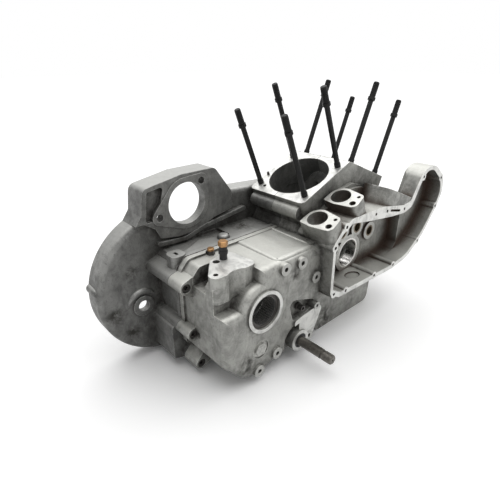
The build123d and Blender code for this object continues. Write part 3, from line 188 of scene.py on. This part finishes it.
class CastingSettings(bpy.types.PropertyGroup):
    """Colours and grain of the two castings"""
    right_colour: colour_property("Right casting", "Colour of the right casting", (0.32, 0.32, 0.30))
    left_colour: colour_property("Left casting", "Colour of the left casting", (0.175, 0.175, 0.168))
    machined_colour: colour_property("Machined faces", "Colour of fresh machined faces", (0.80, 0.80, 0.77))
    # The grime colour is used both for the painted shade in corners and for the grease blotches
    shade_and_grease_colour: colour_property("Grime", "Colour of the grime in the corners", (0.030, 0.027, 0.022))
    stain_colour: colour_property("Oil stain", "Colour of old oil in the gear case", (0.075, 0.046, 0.032))
    metallic: share_property("Metallic", "How metallic the castings look", 0.6)
    grain: length_property("Cast grain", "Size of the sand grain left by the mould", 0.0011)
    edge_round: length_property("Edge rounding", "Radius that cast edges are softened by", 0.0016)
    # The grime reach is how far the painted shade reaches out of corners
    corner_shade_reach: length_property("Corner shade reach", "How far out of a corner the grime reaches", 0.030)


class ThreadSettings(bpy.types.PropertyGroup):
    """Sizes of the threads cut on the studs and on the shaft"""
    stud_pitch: length_property("Stud pitch", "Distance between two turns on a stud", 0.0014)
    shaft_pitch: length_property("Shaft pitch", "Distance between two turns on the shaft", 0.0015)
    height: length_property("Height", "How far the crest stands out", 0.0004)


class SteelSettings(bpy.types.PropertyGroup):
    """Colours of the steel and brass pieces"""
    stud_colour: colour_property("Studs", "Colour of the blackened studs", (0.012, 0.012, 0.012))
    steel_colour: colour_property("Bearing steel", "Colour of polished bearing steel", (0.62, 0.61, 0.59))
    dark_colour: colour_property("Dark steel", "Colour of oiled dark steel", (0.085, 0.08, 0.075))
    brass_colour: colour_property("Brass", "Colour of the worn brass caps", (0.48, 0.27, 0.12))
    bronze_colour: colour_property("Bronze", "Colour of the cam bushings", (0.22, 0.18, 0.13))


class StageSettings(bpy.types.PropertyGroup):
    """Camera, floor and light"""
    lens: FloatProperty(name="Lens", description="Focal length on a 36 mm sensor", unit="CAMERA",
                        default=28.81, min=10, max=200)
    azimuth: angle_property("Azimuth", "Direction the camera looks from", 48.277)
    elevation: angle_property("Elevation", "Height the camera looks from", 25.636)
    roll: angle_property("Roll", "Tilt of the camera about its line of sight", -0.337)
    key_power: strength_property("Overhead light", "Strength of the overhead light", 2.1)
    key_spread: angle_property("Spread", "Angle the overhead light comes from", 85)
    sky_strength: strength_property("Sky", "Strength of the even white surround", 0.36)
    floor_brightness: strength_property("Floor", "Brightness of the floor to the camera", 1.18)


def start_material(name):
    """New node material and its Principled shader."""
    material = bpy.data.materials.new(name)
    material.use_nodes = True
    tree = material.node_tree
    return material, tree, tree.nodes["Principled BSDF"]


def add_node(tree, kind, inputs=None, **settings):
    """Node with its settings, its inputs given as values or as sockets to link."""
    node = tree.nodes.new(kind)
    for key, value in settings.items():
        setattr(node, key, value)
    for key, value in (inputs or {}).items():
        if isinstance(value, bpy.types.NodeSocket):
            tree.links.new(value, node.inputs[key])
        else:
            node.inputs[key].default_value = value
    return node


def calculate(tree, operation, *values):
    """Result socket of a Math node."""
    node = add_node(tree, "ShaderNodeMath", dict(enumerate(values)), operation=operation)
    return node.outputs[0]


def vector_value(tree, operation, first, second):
    """Single value that a Vector Math node gives."""
    node = add_node(tree, "ShaderNodeVectorMath", {0: first, 1: second}, operation=operation)
    return node.outputs["Value"]


def noise_value(tree, position, scale, detail, roughness, distortion=0.0):
    """Noise between 0 and 1 at a scale in cells a metre."""
    node = add_node(tree, "ShaderNodeTexNoise", {"Vector": position, "Scale": scale, "Detail": detail,
                                                 "Roughness": roughness, "Distortion": distortion})
    return node.outputs["Fac"]


def remap(tree, value, low, high, to_low=0.0, to_high=1.0):
    """Value carried from one range to another, clamped."""
    node = add_node(tree, "ShaderNodeMapRange", {"Value": value, "From Min": low, "From Max": high,
                                                 "To Min": to_low, "To Max": to_high})
    return node.outputs["Result"]


def mix_colour(tree, factor, first, second):
    """Two colours mixed, each given as a value or as a socket."""
    factor_socket, first_socket, second_socket, result_socket = 0, 6, 7, 2
    node = add_node(tree, "ShaderNodeMix", {factor_socket: factor}, data_type="RGBA")
    for socket, value in ((first_socket, first), (second_socket, second)):
        if isinstance(value, bpy.types.NodeSocket):
            tree.links.new(value, node.inputs[socket])
        else:
            node.inputs[socket].default_value = (*value[:3], 1)
    return node.outputs[result_socket]


def layer(tree, tone, colour, mask, low, high, share):
    """Colour laid over a tone, none where the mask is low and that share where it is high."""
    return mix_colour(tree, remap(tree, mask, low, high, 0, share), tone, colour)


def shade(colour, factor, lift=0.0):
    """Lighter or darker version of a colour."""
    return [min(1, c * factor + lift) for c in colour]


def object_position(tree):
    """Position in the frame of the model, in metres."""
    return add_node(tree, "ShaderNodeTexCoord").outputs["Object"]


def along(tree, position, direction):
    """Distance of the position along a direction."""
    return vector_value(tree, "DOT_PRODUCT", position, tuple(direction))


def on_plane(tree, position, normal, direction, distance):
    """1 on a flat face at that distance along that direction, 0 elsewhere."""
    tolerance, straightness = 0.0004, 0.97
    near = calculate(tree, "COMPARE", along(tree, position, direction), distance, tolerance)
    facing = calculate(tree, "GREATER_THAN", along(tree, normal, direction), straightness)
    return calculate(tree, "MULTIPLY", near, facing)


def machined_mask(tree, position, normal, faces):
    """How bright each machined face is."""
    machined = None
    for direction, distance, share in faces:
        face = on_plane(tree, position, normal, direction, distance)
        face = calculate(tree, "MULTIPLY", face, share)
        machined = face if machined is None else calculate(tree, "MAXIMUM", machined, face)
    return machined


def gear_case_oil(tree, position, hollowness, cloud):
    """How much old oil darkens the inside of the gear case, more towards the front."""
    x, y = add_node(tree, "ShaderNodeSeparateXYZ", {0: position}).outputs[:2]
    inside = calculate(tree, "MULTIPLY", remap(tree, x, *OIL_AT_RIM), remap(tree, x, *OIL_AT_BACK))
    inside = calculate(tree, "MULTIPLY", inside, remap(tree, y, *OIL_AT_REAR))
    inside = calculate(tree, "MULTIPLY", inside, remap(tree, hollowness, 0.90, 0.66))
    oil = calculate(tree, "MULTIPLY", inside, remap(tree, cloud, 0.25, 0.6, 0.55, 0.95))
    return calculate(tree, "MULTIPLY", oil, remap(tree, y, *OIL_AHEAD, 0.62, 1.0))


def stain_mask(tree, position, spots, cloud):
    """Blotches of old grease round given points with given radii."""
    total = None
    for centre, radius in spots:
        away = vector_value(tree, "DISTANCE", position, centre)
        near = remap(tree, away, radius, radius * 0.3)
        near = calculate(tree, "MULTIPLY", near, remap(tree, cloud, 0.62, 0.40))
        total = near if total is None else calculate(tree, "MAXIMUM", total, near)
    return total


def link_surface(tree, shader, tone, roughness, height, normal, relief):
    """Tone, roughness and relief joined to the shader."""
    strength, depth = relief
    bump = add_node(tree, "ShaderNodeBump", {"Height": height, "Normal": normal, "Strength": strength,
                                             "Distance": depth})
    tree.links.new(tone, shader.inputs["Base Color"])
    tree.links.new(roughness, shader.inputs["Roughness"])
    tree.links.new(bump.outputs[0], shader.inputs["Normal"])


def cast_material(name, colour, faces, settings, mottle, painted_top_light, spots, stained=False):
    """Sand-cast aluminium: grain, stains, rubbed edges and machined faces, with painted shade in the corners,
    painted light on upward faces and painted shade on downward faces.
    """
    material, tree, shader = start_material(name)
    position = object_position(tree)
    normal = add_node(tree, "ShaderNodeNewGeometry").outputs["True Normal"]
    # Tone: broad patches, cloudy oxide, specks and streaks that ran down the sides
    broad = noise_value(tree, position, PATCH_SCALE, 4, 0.62)
    cloud = noise_value(tree, position, OXIDE_SCALE, 7, 0.68, 0.5)
    speck = noise_value(tree, position, SPECK_SCALE, 3, 0.6)
    drawn_out = add_node(tree, "ShaderNodeVectorMath", {0: position, 1: RUN_STRETCH},
                         operation="MULTIPLY")
    streak = noise_value(tree, drawn_out.outputs[0], RUN_SCALE, 5, 0.6, 0.3)
    tone = layer(tree, shade(colour, 1 - mottle), shade(colour, 1 + 1.3 * mottle), broad, 0.36, 0.64, 1)
    tone = layer(tree, tone, shade(colour, 1.75), cloud, 0.46, 0.74, 0.65)
    tone = layer(tree, tone, shade(colour, 0.42), cloud, 0.46, 0.28, 0.55)
    tone = layer(tree, tone, shade(colour, 0.45), streak, 0.54, 0.74, 0.55)
    tone = layer(tree, tone, shade(colour, 0.35), speck, 0.58, 0.72, 0.55)
    # Painted light and shade: faces turned up are painted lighter, faces turned down are painted darker
    facing_up = add_node(tree, "ShaderNodeSeparateXYZ", {0: normal}).outputs["Z"]
    tone = layer(tree, tone, shade(colour, painted_top_light), facing_up, 0.55, 0.98, 0.75)
    tone = layer(tree, tone, shade(colour, 0.4), facing_up, 0.25, -0.6, 0.5)
    # Painted shade darkens the corners, taken from ambient occlusion, and real grease blotches darken too
    hollow = add_node(tree, "ShaderNodeAmbientOcclusion", {"Distance": settings.corner_shade_reach}, samples=8,
                      only_local=True).outputs["AO"]
    shade_and_grease = remap(tree, hollow, 0.42, 0.99, 0.96, 0.0)
    shade_and_grease = calculate(tree, "MULTIPLY", shade_and_grease, remap(tree, cloud, 0.62, 0.38, 0.55, 1.0))
    blotches = calculate(tree, "MULTIPLY", stain_mask(tree, position, spots, cloud), 0.9)
    shade_and_grease = calculate(tree, "MAXIMUM", shade_and_grease, blotches)
    tone = mix_colour(tree, shade_and_grease, tone, settings.shade_and_grease_colour)
    # Edges are rubbed bright
    bevel = add_node(tree, "ShaderNodeBevel", {"Radius": settings.edge_round}, samples=4)
    flatness = vector_value(tree, "DOT_PRODUCT", bevel.outputs[0], normal)
    rubbed = remap(tree, flatness, 0.996, 0.90, 0, 0.8)
    rubbed = calculate(tree, "MULTIPLY", rubbed, remap(tree, cloud, 0.34, 0.56))
    rubbed = calculate(tree, "MULTIPLY", rubbed, remap(tree, hollow, 0.55, 0.95))
    tone = mix_colour(tree, rubbed, tone, shade(colour, 2.6, 0.05))
    # Machined faces: pale, with smudges
    machined = machined_mask(tree, position, normal, faces)
    bright = settings.machined_colour
    smudge = noise_value(tree, position, SMUDGE_SCALE, 6, 0.66, 0.9)
    face_tone = layer(tree, bright, shade(bright, 0.42), smudge, 0.44, 0.70, 0.75)
    tone = mix_colour(tree, machined, tone, face_tone)
    roughness = remap(tree, cloud, 0.3, 0.7, 0.60, 0.36)
    roughness = calculate(tree, "ADD", roughness, calculate(tree, "MULTIPLY", shade_and_grease, 0.2))
    roughness = calculate(tree, "SUBTRACT", roughness, calculate(tree, "MULTIPLY", machined, 0.08))
    if stained:
        oil = gear_case_oil(tree, position, hollow, cloud)
        tone = mix_colour(tree, oil, tone, settings.stain_colour)
    # The seam between the halves
    seam_x = add_node(tree, "ShaderNodeSeparateXYZ", {0: position}).outputs["X"]
    seam = calculate(tree, "COMPARE", seam_x, 0.0, SEAM_HALF_WIDTH)
    tone = mix_colour(tree, calculate(tree, "MULTIPLY", seam, 0.85), tone, SEAM_COLOUR)
    # Grain of the mould and shallow dents
    grain = noise_value(tree, position, 1 / settings.grain, 2, 0.5)
    dents = noise_value(tree, position, DENT_SCALE, 4, 0.55)
    height = calculate(tree, "ADD", calculate(tree, "MULTIPLY", grain, 0.35), dents)
    height = calculate(tree, "MULTIPLY", height, calculate(tree, "SUBTRACT", 1.0, machined))
    link_surface(tree, shader, tone, roughness, height, bevel.outputs[0], CAST_RELIEF)
    shader.inputs["Metallic"].default_value = settings.metallic
    return material


def steel_material(name, colour, roughness, metallic=0.9, worn=0.5, rings=None):
    """Steel, brass or blacked metal with scratches, stains and, if asked, fine rings along an axis."""
    material, tree, shader = start_material(name)
    position = object_position(tree)
    cloud = noise_value(tree, position, STEEL_CLOUD_SCALE, 5, 0.65, 0.5)
    streak = noise_value(tree, position, SCRATCH_SCALE, 2, 0.5)
    tone = layer(tree, colour, shade(colour, 0.4), cloud, 0.40, 0.70, worn)
    tone = layer(tree, tone, shade(colour, 1.7, 0.02), streak, 0.62, 0.78, 0.4)
    bevel = add_node(tree, "ShaderNodeBevel", {"Radius": STEEL_EDGE_ROUND}, samples=4)
    height = cloud
    if rings is not None:
        direction, pitch = rings
        turn = calculate(tree, "MULTIPLY", along(tree, position, direction), 2 * math.pi / pitch)
        ridges = calculate(tree, "MULTIPLY", calculate(tree, "SINE", turn), 1.2)
        height = calculate(tree, "ADD", height, ridges)
    polish = remap(tree, cloud, 0.3, 0.7, roughness - 0.08, roughness + 0.12)
    link_surface(tree, shader, tone, polish, height, bevel.outputs[0], STEEL_RELIEF)
    shader.inputs["Metallic"].default_value = metallic
    return material


def dress(node, material):
    """The material on every slot of a CAD node."""
    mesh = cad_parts[node].data
    mesh.materials.clear()
    mesh.materials.append(material)


def material_of(node):
    """The material that a CAD node has been given."""
    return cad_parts[node].data.materials[0]


def finish_piece(form, name, material):
    """Object from a bmesh, smooth shaded, riding on the crankcase."""
    bmesh.ops.recalc_face_normals(form, faces=form.faces)
    mesh = bpy.data.meshes.new(name)
    form.to_mesh(mesh)
    form.free()
    for face in mesh.polygons:
        face.use_smooth = True
    mesh.materials.append(material)
    piece = bpy.data.objects.new(name, mesh)
    bpy.context.scene.collection.objects.link(piece)
    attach(piece, "root")
    return piece


def close_ring_strip(form, rings):
    """Faces between consecutive rings of vertices, with both ends closed."""
    for first, second in zip(rings, rings[1:]):
        count = len(first)
        for index in range(count):
            after = (index + 1) % count
            form.faces.new((first[index], first[after], second[after], second[index]))
    form.faces.new(rings[0])
    form.faces.new(rings[-1])


def add_thread(form, start, direction, radius, length, pitch, height):
    """Helical ridge with a pointed crest round a bar, its ends run out over a quarter turn."""
    direction = direction.normalized()
    across = direction.orthogonal().normalized()
    beside = direction.cross(across)
    steps_a_turn = 20
    run_out = steps_a_turn / 4
    root = radius - 0.0002
    flank = 0.46 * pitch
    steps = int(steps_a_turn * (length - pitch) / pitch)
    rings = []
    for step in range(steps + 1):
        angle = 2 * math.pi * step / steps_a_turn
        outward = across * math.cos(angle) + beside * math.sin(angle)
        crest = radius + height * min(1.0, step / run_out, (steps - step) / run_out)
        centre = start + direction * (pitch / 2 + pitch * step / steps_a_turn)
        corners = ((-flank, root), (0.0, crest), (flank, root))
        rings.append([form.verts.new(centre + direction * shift + outward * reach)
                      for shift, reach in corners])
    close_ring_strip(form, rings)


def add_tube(form, points, sizes, sides, reference=CRANK_AXIS):
    """Round bead along points across the reference, with a radius for each point."""
    rings = []
    for number, point in enumerate(points):
        ahead = points[min(number + 1, len(points) - 1)] - points[max(number - 1, 0)]
        across = ahead.cross(reference).normalized()
        beside = ahead.cross(across).normalized()
        ring = []
        for side in range(sides):
            angle = 2 * math.pi * side / sides
            outward = across * math.cos(angle) + beside * math.sin(angle)
            ring.append(form.verts.new(point + sizes[number] * outward))
        rings.append(ring)
    close_ring_strip(form, rings)


class CRANKCASE_OT_castings(bpy.types.Operator):
    """Give both castings their cast and machined finish"""
    bl_idname = "crankcase.castings"
    bl_label = "Castings"

    def execute(self, context):
        settings = context.scene.crankcase_castings
        # The wiped factor is painted light that makes upward faces lighter
        right = cast_material("right_cast_aluminium", settings.right_colour, RIGHT_FACES, settings,
                              mottle=0.25, painted_top_light=2.3, spots=RIGHT_STAINS, stained=True)
        left = cast_material("left_cast_aluminium", settings.left_colour, LEFT_FACES, settings,
                             mottle=0.4, painted_top_light=3.2, spots=LEFT_STAINS)
        dress("right_case", right)
        dress("left_case", left)
        self.make_crescent(left)
        self.make_ear(left)
        self.make_sealant()
        self.make_roof_ribs(right)
        return {"FINISHED"}

    def make_roof_ribs(self, material):
        """Soft edge of the raised part of the gearbox roof, and a low rib cast across it."""
        in_flange, edge_z, edge_radius = 0.003, 0.0555, 0.0060
        rib_y, rib_z, rib_radius, rib_length, rib_slant = -0.1235, 0.0596, 0.0032, 0.085, -0.003
        pieces, turns, rib_pieces = 16, 12, 24
        inner = Vector((ROOF_STEP_RIGHT - ROOF_STEP_CORNER, ROOF_STEP_REAR + ROOF_STEP_CORNER, edge_z))
        edge = []
        for number in range(pieces):
            x = in_flange + (inner.x - in_flange) * number / pieces
            edge.append(Vector((x, ROOF_STEP_REAR, edge_z)))
        for number in range(turns + 1):
            angle = math.pi / 2 * number / turns
            edge.append(inner + ROOF_STEP_CORNER * Vector((math.sin(angle), -math.cos(angle), 0)))
        for number in range(1, pieces + 1):
            y = inner.y + (ROOF_STEP_FRONT - inner.y) * number / pieces
            edge.append(Vector((ROOF_STEP_RIGHT, y, edge_z)))
        rib = []
        for number in range(rib_pieces + 1):
            share = number / rib_pieces
            rib.append(Vector((in_flange + rib_length * share, rib_y + rib_slant * share, rib_z)))
        form = bmesh.new()
        for points, radius in ((edge, edge_radius), (rib, rib_radius)):
            last = len(points) - 1
            taper = [min(1.0, 0.4 + 0.2 * (last - number)) for number in range(last + 1)]
            add_tube(form, points, [radius * share for share in taper], sides=36, reference=UPWARD)
        finish_piece(form, "roof_ribs", material)

    def make_crescent(self, material):
        """Raised crescent cast above the hole in the chain wall."""
        start, span, reach = 35, 130, 0.0245
        thin, thick, fullness = 0.001, 0.0042, 0.6
        count = 28
        points = []
        for number in range(count + 1):
            angle = math.radians(start + span * number / count)
            points.append(WALL_HOLE + reach * Vector((0, math.cos(angle), math.sin(angle))))
        form = bmesh.new()
        swell = [math.sin(math.pi * number / count) ** fullness for number in range(count + 1)]
        add_tube(form, points, [thin + thick * share for share in swell], sides=12)
        finish_piece(form, "wall_hole_crescent", material)

    def make_ear(self, material):
        """Round ear for a cover screw at the rear of the chain wall."""
        sides = 32
        profile = ((-0.0945, 0.0064), (-0.0942, 0.0076), (-0.090, 0.0078), (-0.075, 0.0074),
                   (-0.070, 0.0066), (-0.067, 0.0045))
        form = bmesh.new()
        rings = []
        for x, radius in profile:
            ring = []
            for side in range(sides):
                angle = 2 * math.pi * side / sides
                y, z = EAR_Y + radius * math.cos(angle), EAR_Z + radius * math.sin(angle)
                ring.append(form.verts.new((x, y, z)))
            rings.append(ring)
        close_ring_strip(form, rings)
        finish_piece(form, "rear_cover_ear", material)

    def make_sealant(self):
        """Thin uneven bead of old sealant squeezed out of the seam."""
        draw = random.Random(7)
        spacing, thin = 0.0022, 0.0005
        top = GEARBOX_TOP + SEAM_FLANGE
        rear = GEARBOX_REAR - SEAM_FLANGE
        corners = [Vector((0, y, z)) for y, z in ((rear, -0.060), (rear, 0.048), (rear + 0.004, 0.0545),
                                                  (rear + 0.011, top), (-0.110, top))]
        points = []
        for first, second in zip(corners, corners[1:]):
            count = max(2, int((second - first).length / spacing))
            points += [first.lerp(second, number / count) for number in range(count)]
        points.append(corners[-1])
        sizes = [thin + thin * draw.random() ** 2 for _ in points]
        form = bmesh.new()
        add_tube(form, points, sizes, sides=6)
        sealant = steel_material("old_sealant", SEALANT_COLOUR, 0.6, 0.0, 0.4)
        finish_piece(form, "seam_sealant", sealant)


class CRANKCASE_OT_hardware(bpy.types.Operator):
    """Give the studs, bearings, shaft and fittings their metal finishes"""
    bl_idname = "crankcase.hardware"
    bl_label = "Hardware"

    def execute(self, context):
        settings = context.scene.crankcase_steel
        black = settings.stud_colour
        steel = settings.steel_colour
        rear_studs = steel_material("black_stud_rear", black, 0.42, 0.6, 0.3, (REAR_UP, STUD_RING_PITCH))
        front_studs = steel_material("black_stud_front", black, 0.42, 0.6, 0.3, (FRONT_UP, STUD_RING_PITCH))
        polished = steel_material("bearing_steel", steel, 0.22, 1.0, 0.25)
        oiled = steel_material("oiled_steel", settings.dark_colour, 0.38, 0.85)
        needles = steel_material("needle_steel", shade(steel, 0.35), 0.28, 0.5, 0.15)
        brass = steel_material("worn_brass", settings.brass_colour, 0.34, 0.85, 0.6)
        finishes = (
            (rear_studs, ("rear_cylinder_studs",)),
            (front_studs, ("front_cylinder_studs",)),
            (polished, ("pinion_bearing_race", "left_main_race", "case_dowels")),
            (oiled, ("output_bearing_shell", "deck_pins", "left_race_clip", "vent_body", "pocket_fitting",
                     "case_bolts")),
            (needles, ("output_bearing_needles",)),
            (brass, ("switch_cap", "vent_cap")),
            (steel_material("bushing_bronze", settings.bronze_colour, 0.38, 0.8), ("cam_bushings",)),
            (steel_material("black_switch_body", black, 0.5, 0.2), ("switch_body",)),
            (steel_material("pivot_shaft_steel", PIVOT_COLOUR, 0.32, 0.9, 0.8), ("pivot_shaft",)),
            (steel_material("seal_rubber", RUBBER_COLOUR, 0.6, 0.0), ("pivot_seal",)),
            (steel_material("plug_alloy", PLUG_COLOUR, 0.42, 0.6, 0.7), ("gearbox_plug",)),
        )
        for material, nodes in finishes:
            for node in nodes:
                dress(node, material)
        return {"FINISHED"}


class CRANKCASE_OT_threads(bpy.types.Operator):
    """Cut the threads of the cylinder studs and of the pivot shaft"""
    bl_idname = "crankcase.threads"
    bl_label = "Threads"

    def execute(self, context):
        settings = context.scene.crankcase_threads
        self.cut_studs(settings, "rear", REAR_UP)
        self.cut_studs(settings, "front", FRONT_UP)
        low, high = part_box("pivot_shaft")
        start = Vector((high[0] - SHAFT_THREAD_START, (low[1] + high[1]) / 2, (low[2] + high[2]) / 2))
        form = bmesh.new()
        add_thread(form, start, CRANK_AXIS, SHAFT_RADIUS, SHAFT_THREAD, settings.shaft_pitch, settings.height)
        finish_piece(form, "pivot_shaft_thread", material_of("pivot_shaft"))
        return {"FINISHED"}

    def cut_studs(self, settings, name, up):
        """Thread at the top and at the foot of the four studs of one deck."""
        top_gap, top_end, foot_gap, foot_height = 0.0006, 0.0016, 0.0003, 0.7
        across = up.cross(CRANK_AXIS)
        top_length = STUD_REACH - STUD_COLLAR_TOP - top_end
        form = bmesh.new()
        for side in (-1, 1):
            for end in (-1, 1):
                axis = CRANK_AXIS * side * STUD_HALF_PITCH_X + across * end * STUD_HALF_PITCH_V
                add_thread(form, axis + up * (DECK_HEIGHT + STUD_COLLAR_TOP + top_gap), up, STUD_TOP_RADIUS,
                           top_length, settings.stud_pitch, settings.height)
                add_thread(form, axis + up * (DECK_HEIGHT + foot_gap), up, STUD_FOOT_RADIUS,
                           STUD_FOOT_THREAD, settings.stud_pitch, settings.height * foot_height)
        finish_piece(form, "stud_threads_" + name, material_of(name + "_cylinder_studs"))


class CRANKCASE_OT_stage(bpy.types.Operator):
    """Set the camera, the pale floor and the soft studio light"""
    bl_idname = "crankcase.stage"
    bl_label = "Stage"

    def execute(self, context):
        settings = context.scene.crankcase_stage
        scene = context.scene
        self.place_camera(scene, settings)
        self.make_floor(scene, settings)
        self.make_light(scene, settings)
        scene.view_settings.view_transform = "Standard"
        return {"FINISHED"}

    def place_camera(self, scene, settings):
        """Camera above the right rear of the object."""
        camera_data = bpy.data.cameras.new("camera")
        camera = bpy.data.objects.new("camera", camera_data)
        scene.collection.objects.link(camera)
        scene.camera = camera
        camera_data.sensor_width = SENSOR_WIDTH
        camera_data.lens = settings.lens
        camera_data.clip_end = SIGHT
        az, el, roll = settings.azimuth, settings.elevation, settings.roll
        back = Vector((math.sin(az) * math.cos(el), -math.cos(az) * math.cos(el), math.sin(el)))
        right = Vector((math.cos(az), math.sin(az), 0))
        up = back.cross(right)
        side = math.cos(roll) * right + math.sin(roll) * up
        top = -math.sin(roll) * right + math.cos(roll) * up
        x, y, z = CAMERA_PLACE
        camera.matrix_world = Matrix(((side.x, top.x, back.x, x), (side.y, top.y, back.y, y),
                                      (side.z, top.z, back.z, z), (0, 0, 0, 1)))

    def make_floor(self, scene, settings):
        """Pale sweep on the floor under the object."""
        mesh = bpy.data.meshes.new("floor")
        floor = bpy.data.objects.new("floor", mesh)
        scene.collection.objects.link(floor)
        form = bmesh.new()
        bmesh.ops.create_grid(form, x_segments=1, y_segments=1, size=FLOOR_SIZE)
        form.to_mesh(mesh)
        form.free()
        floor.location = (0, 0, FLOOR_Z)
        material, tree, shader = start_material("pale_floor")
        # The camera sees the floor brighter than it lights the object
        tone = mix_colour(tree, self.seen(tree), [FLOOR_TONE] * 3, [settings.floor_brightness] * 3)
        tree.nodes.remove(shader)
        plain = add_node(tree, "ShaderNodeBsdfDiffuse", {"Color": tone})
        tree.links.new(plain.outputs[0], tree.nodes["Material Output"].inputs["Surface"])
        mesh.materials.append(material)

    def make_light(self, scene, settings):
        """White surround and one soft light overhead."""
        world = bpy.data.worlds.new("surround")
        scene.world = world
        world.use_nodes = True
        tree = world.node_tree
        sky = tree.nodes["Background"]
        sky.inputs["Color"].default_value = (1, 1, 1, 1)
        sky.inputs["Strength"].default_value = settings.sky_strength
        backdrop = add_node(tree, "ShaderNodeBackground", {"Color": (1, 1, 1, 1), "Strength": 1.0})
        both = add_node(tree, "ShaderNodeMixShader", {0: self.seen(tree), 1: sky.outputs[0],
                                                      2: backdrop.outputs[0]})
        tree.links.new(both.outputs[0], tree.nodes["World Output"].inputs["Surface"])
        lamp = bpy.data.lights.new("overhead_soft_light", "SUN")
        lamp.energy = settings.key_power
        lamp.angle = settings.key_spread
        light = bpy.data.objects.new("overhead_soft_light", lamp)
        light.rotation_euler = LIGHT_DIRECTION.to_track_quat("-Z", "Y").to_euler()
        scene.collection.objects.link(light)

    def seen(self, tree):
        """1 for rays that the camera, a reflection or glass sees, 0 for rays that light the object."""
        path = add_node(tree, "ShaderNodeLightPath")
        seen = calculate(tree, "MAXIMUM", path.outputs["Is Camera Ray"], path.outputs["Is Glossy Ray"])
        return calculate(tree, "MAXIMUM", seen, path.outputs["Is Transmission Ray"])


class CRANKCASE_PT_panel(bpy.types.Panel):
    """Lists the steps that finish the crankcase"""
    bl_idname = "CRANKCASE_PT_panel"
    bl_label = "Crankcase"
    bl_space_type = "VIEW_3D"
    bl_region_type = "UI"
    bl_category = "Crankcase"

    def draw(self, context):
        for step in STEPS:
            self.layout.operator(step.bl_idname)


STEPS = [CRANKCASE_OT_castings, CRANKCASE_OT_hardware, CRANKCASE_OT_threads, CRANKCASE_OT_stage]
GROUPS = {"crankcase_castings": CastingSettings, "crankcase_steel": SteelSettings,
          "crankcase_threads": ThreadSettings, "crankcase_stage": StageSettings}


def register():
    """Register the settings, the operators and the panel."""
    for name, group in GROUPS.items():
        bpy.utils.register_class(group)
        setattr(bpy.types.Scene, name, PointerProperty(type=group))
    for step in STEPS:
        bpy.utils.register_class(step)
    bpy.utils.register_class(CRANKCASE_PT_panel)


def unregister():
    """Take them off again."""
    bpy.utils.unregister_class(CRANKCASE_PT_panel)
    for step in reversed(STEPS):
        bpy.utils.unregister_class(step)
    for name, group in GROUPS.items():
        delattr(bpy.types.Scene, name)
        bpy.utils.unregister_class(group)


def main():
    """Run every step in order."""
    register()
    bpy.ops.crankcase.castings()
    bpy.ops.crankcase.hardware()
    bpy.ops.crankcase.threads()
    bpy.ops.crankcase.stage()


if __name__ == "__main__":
    main()
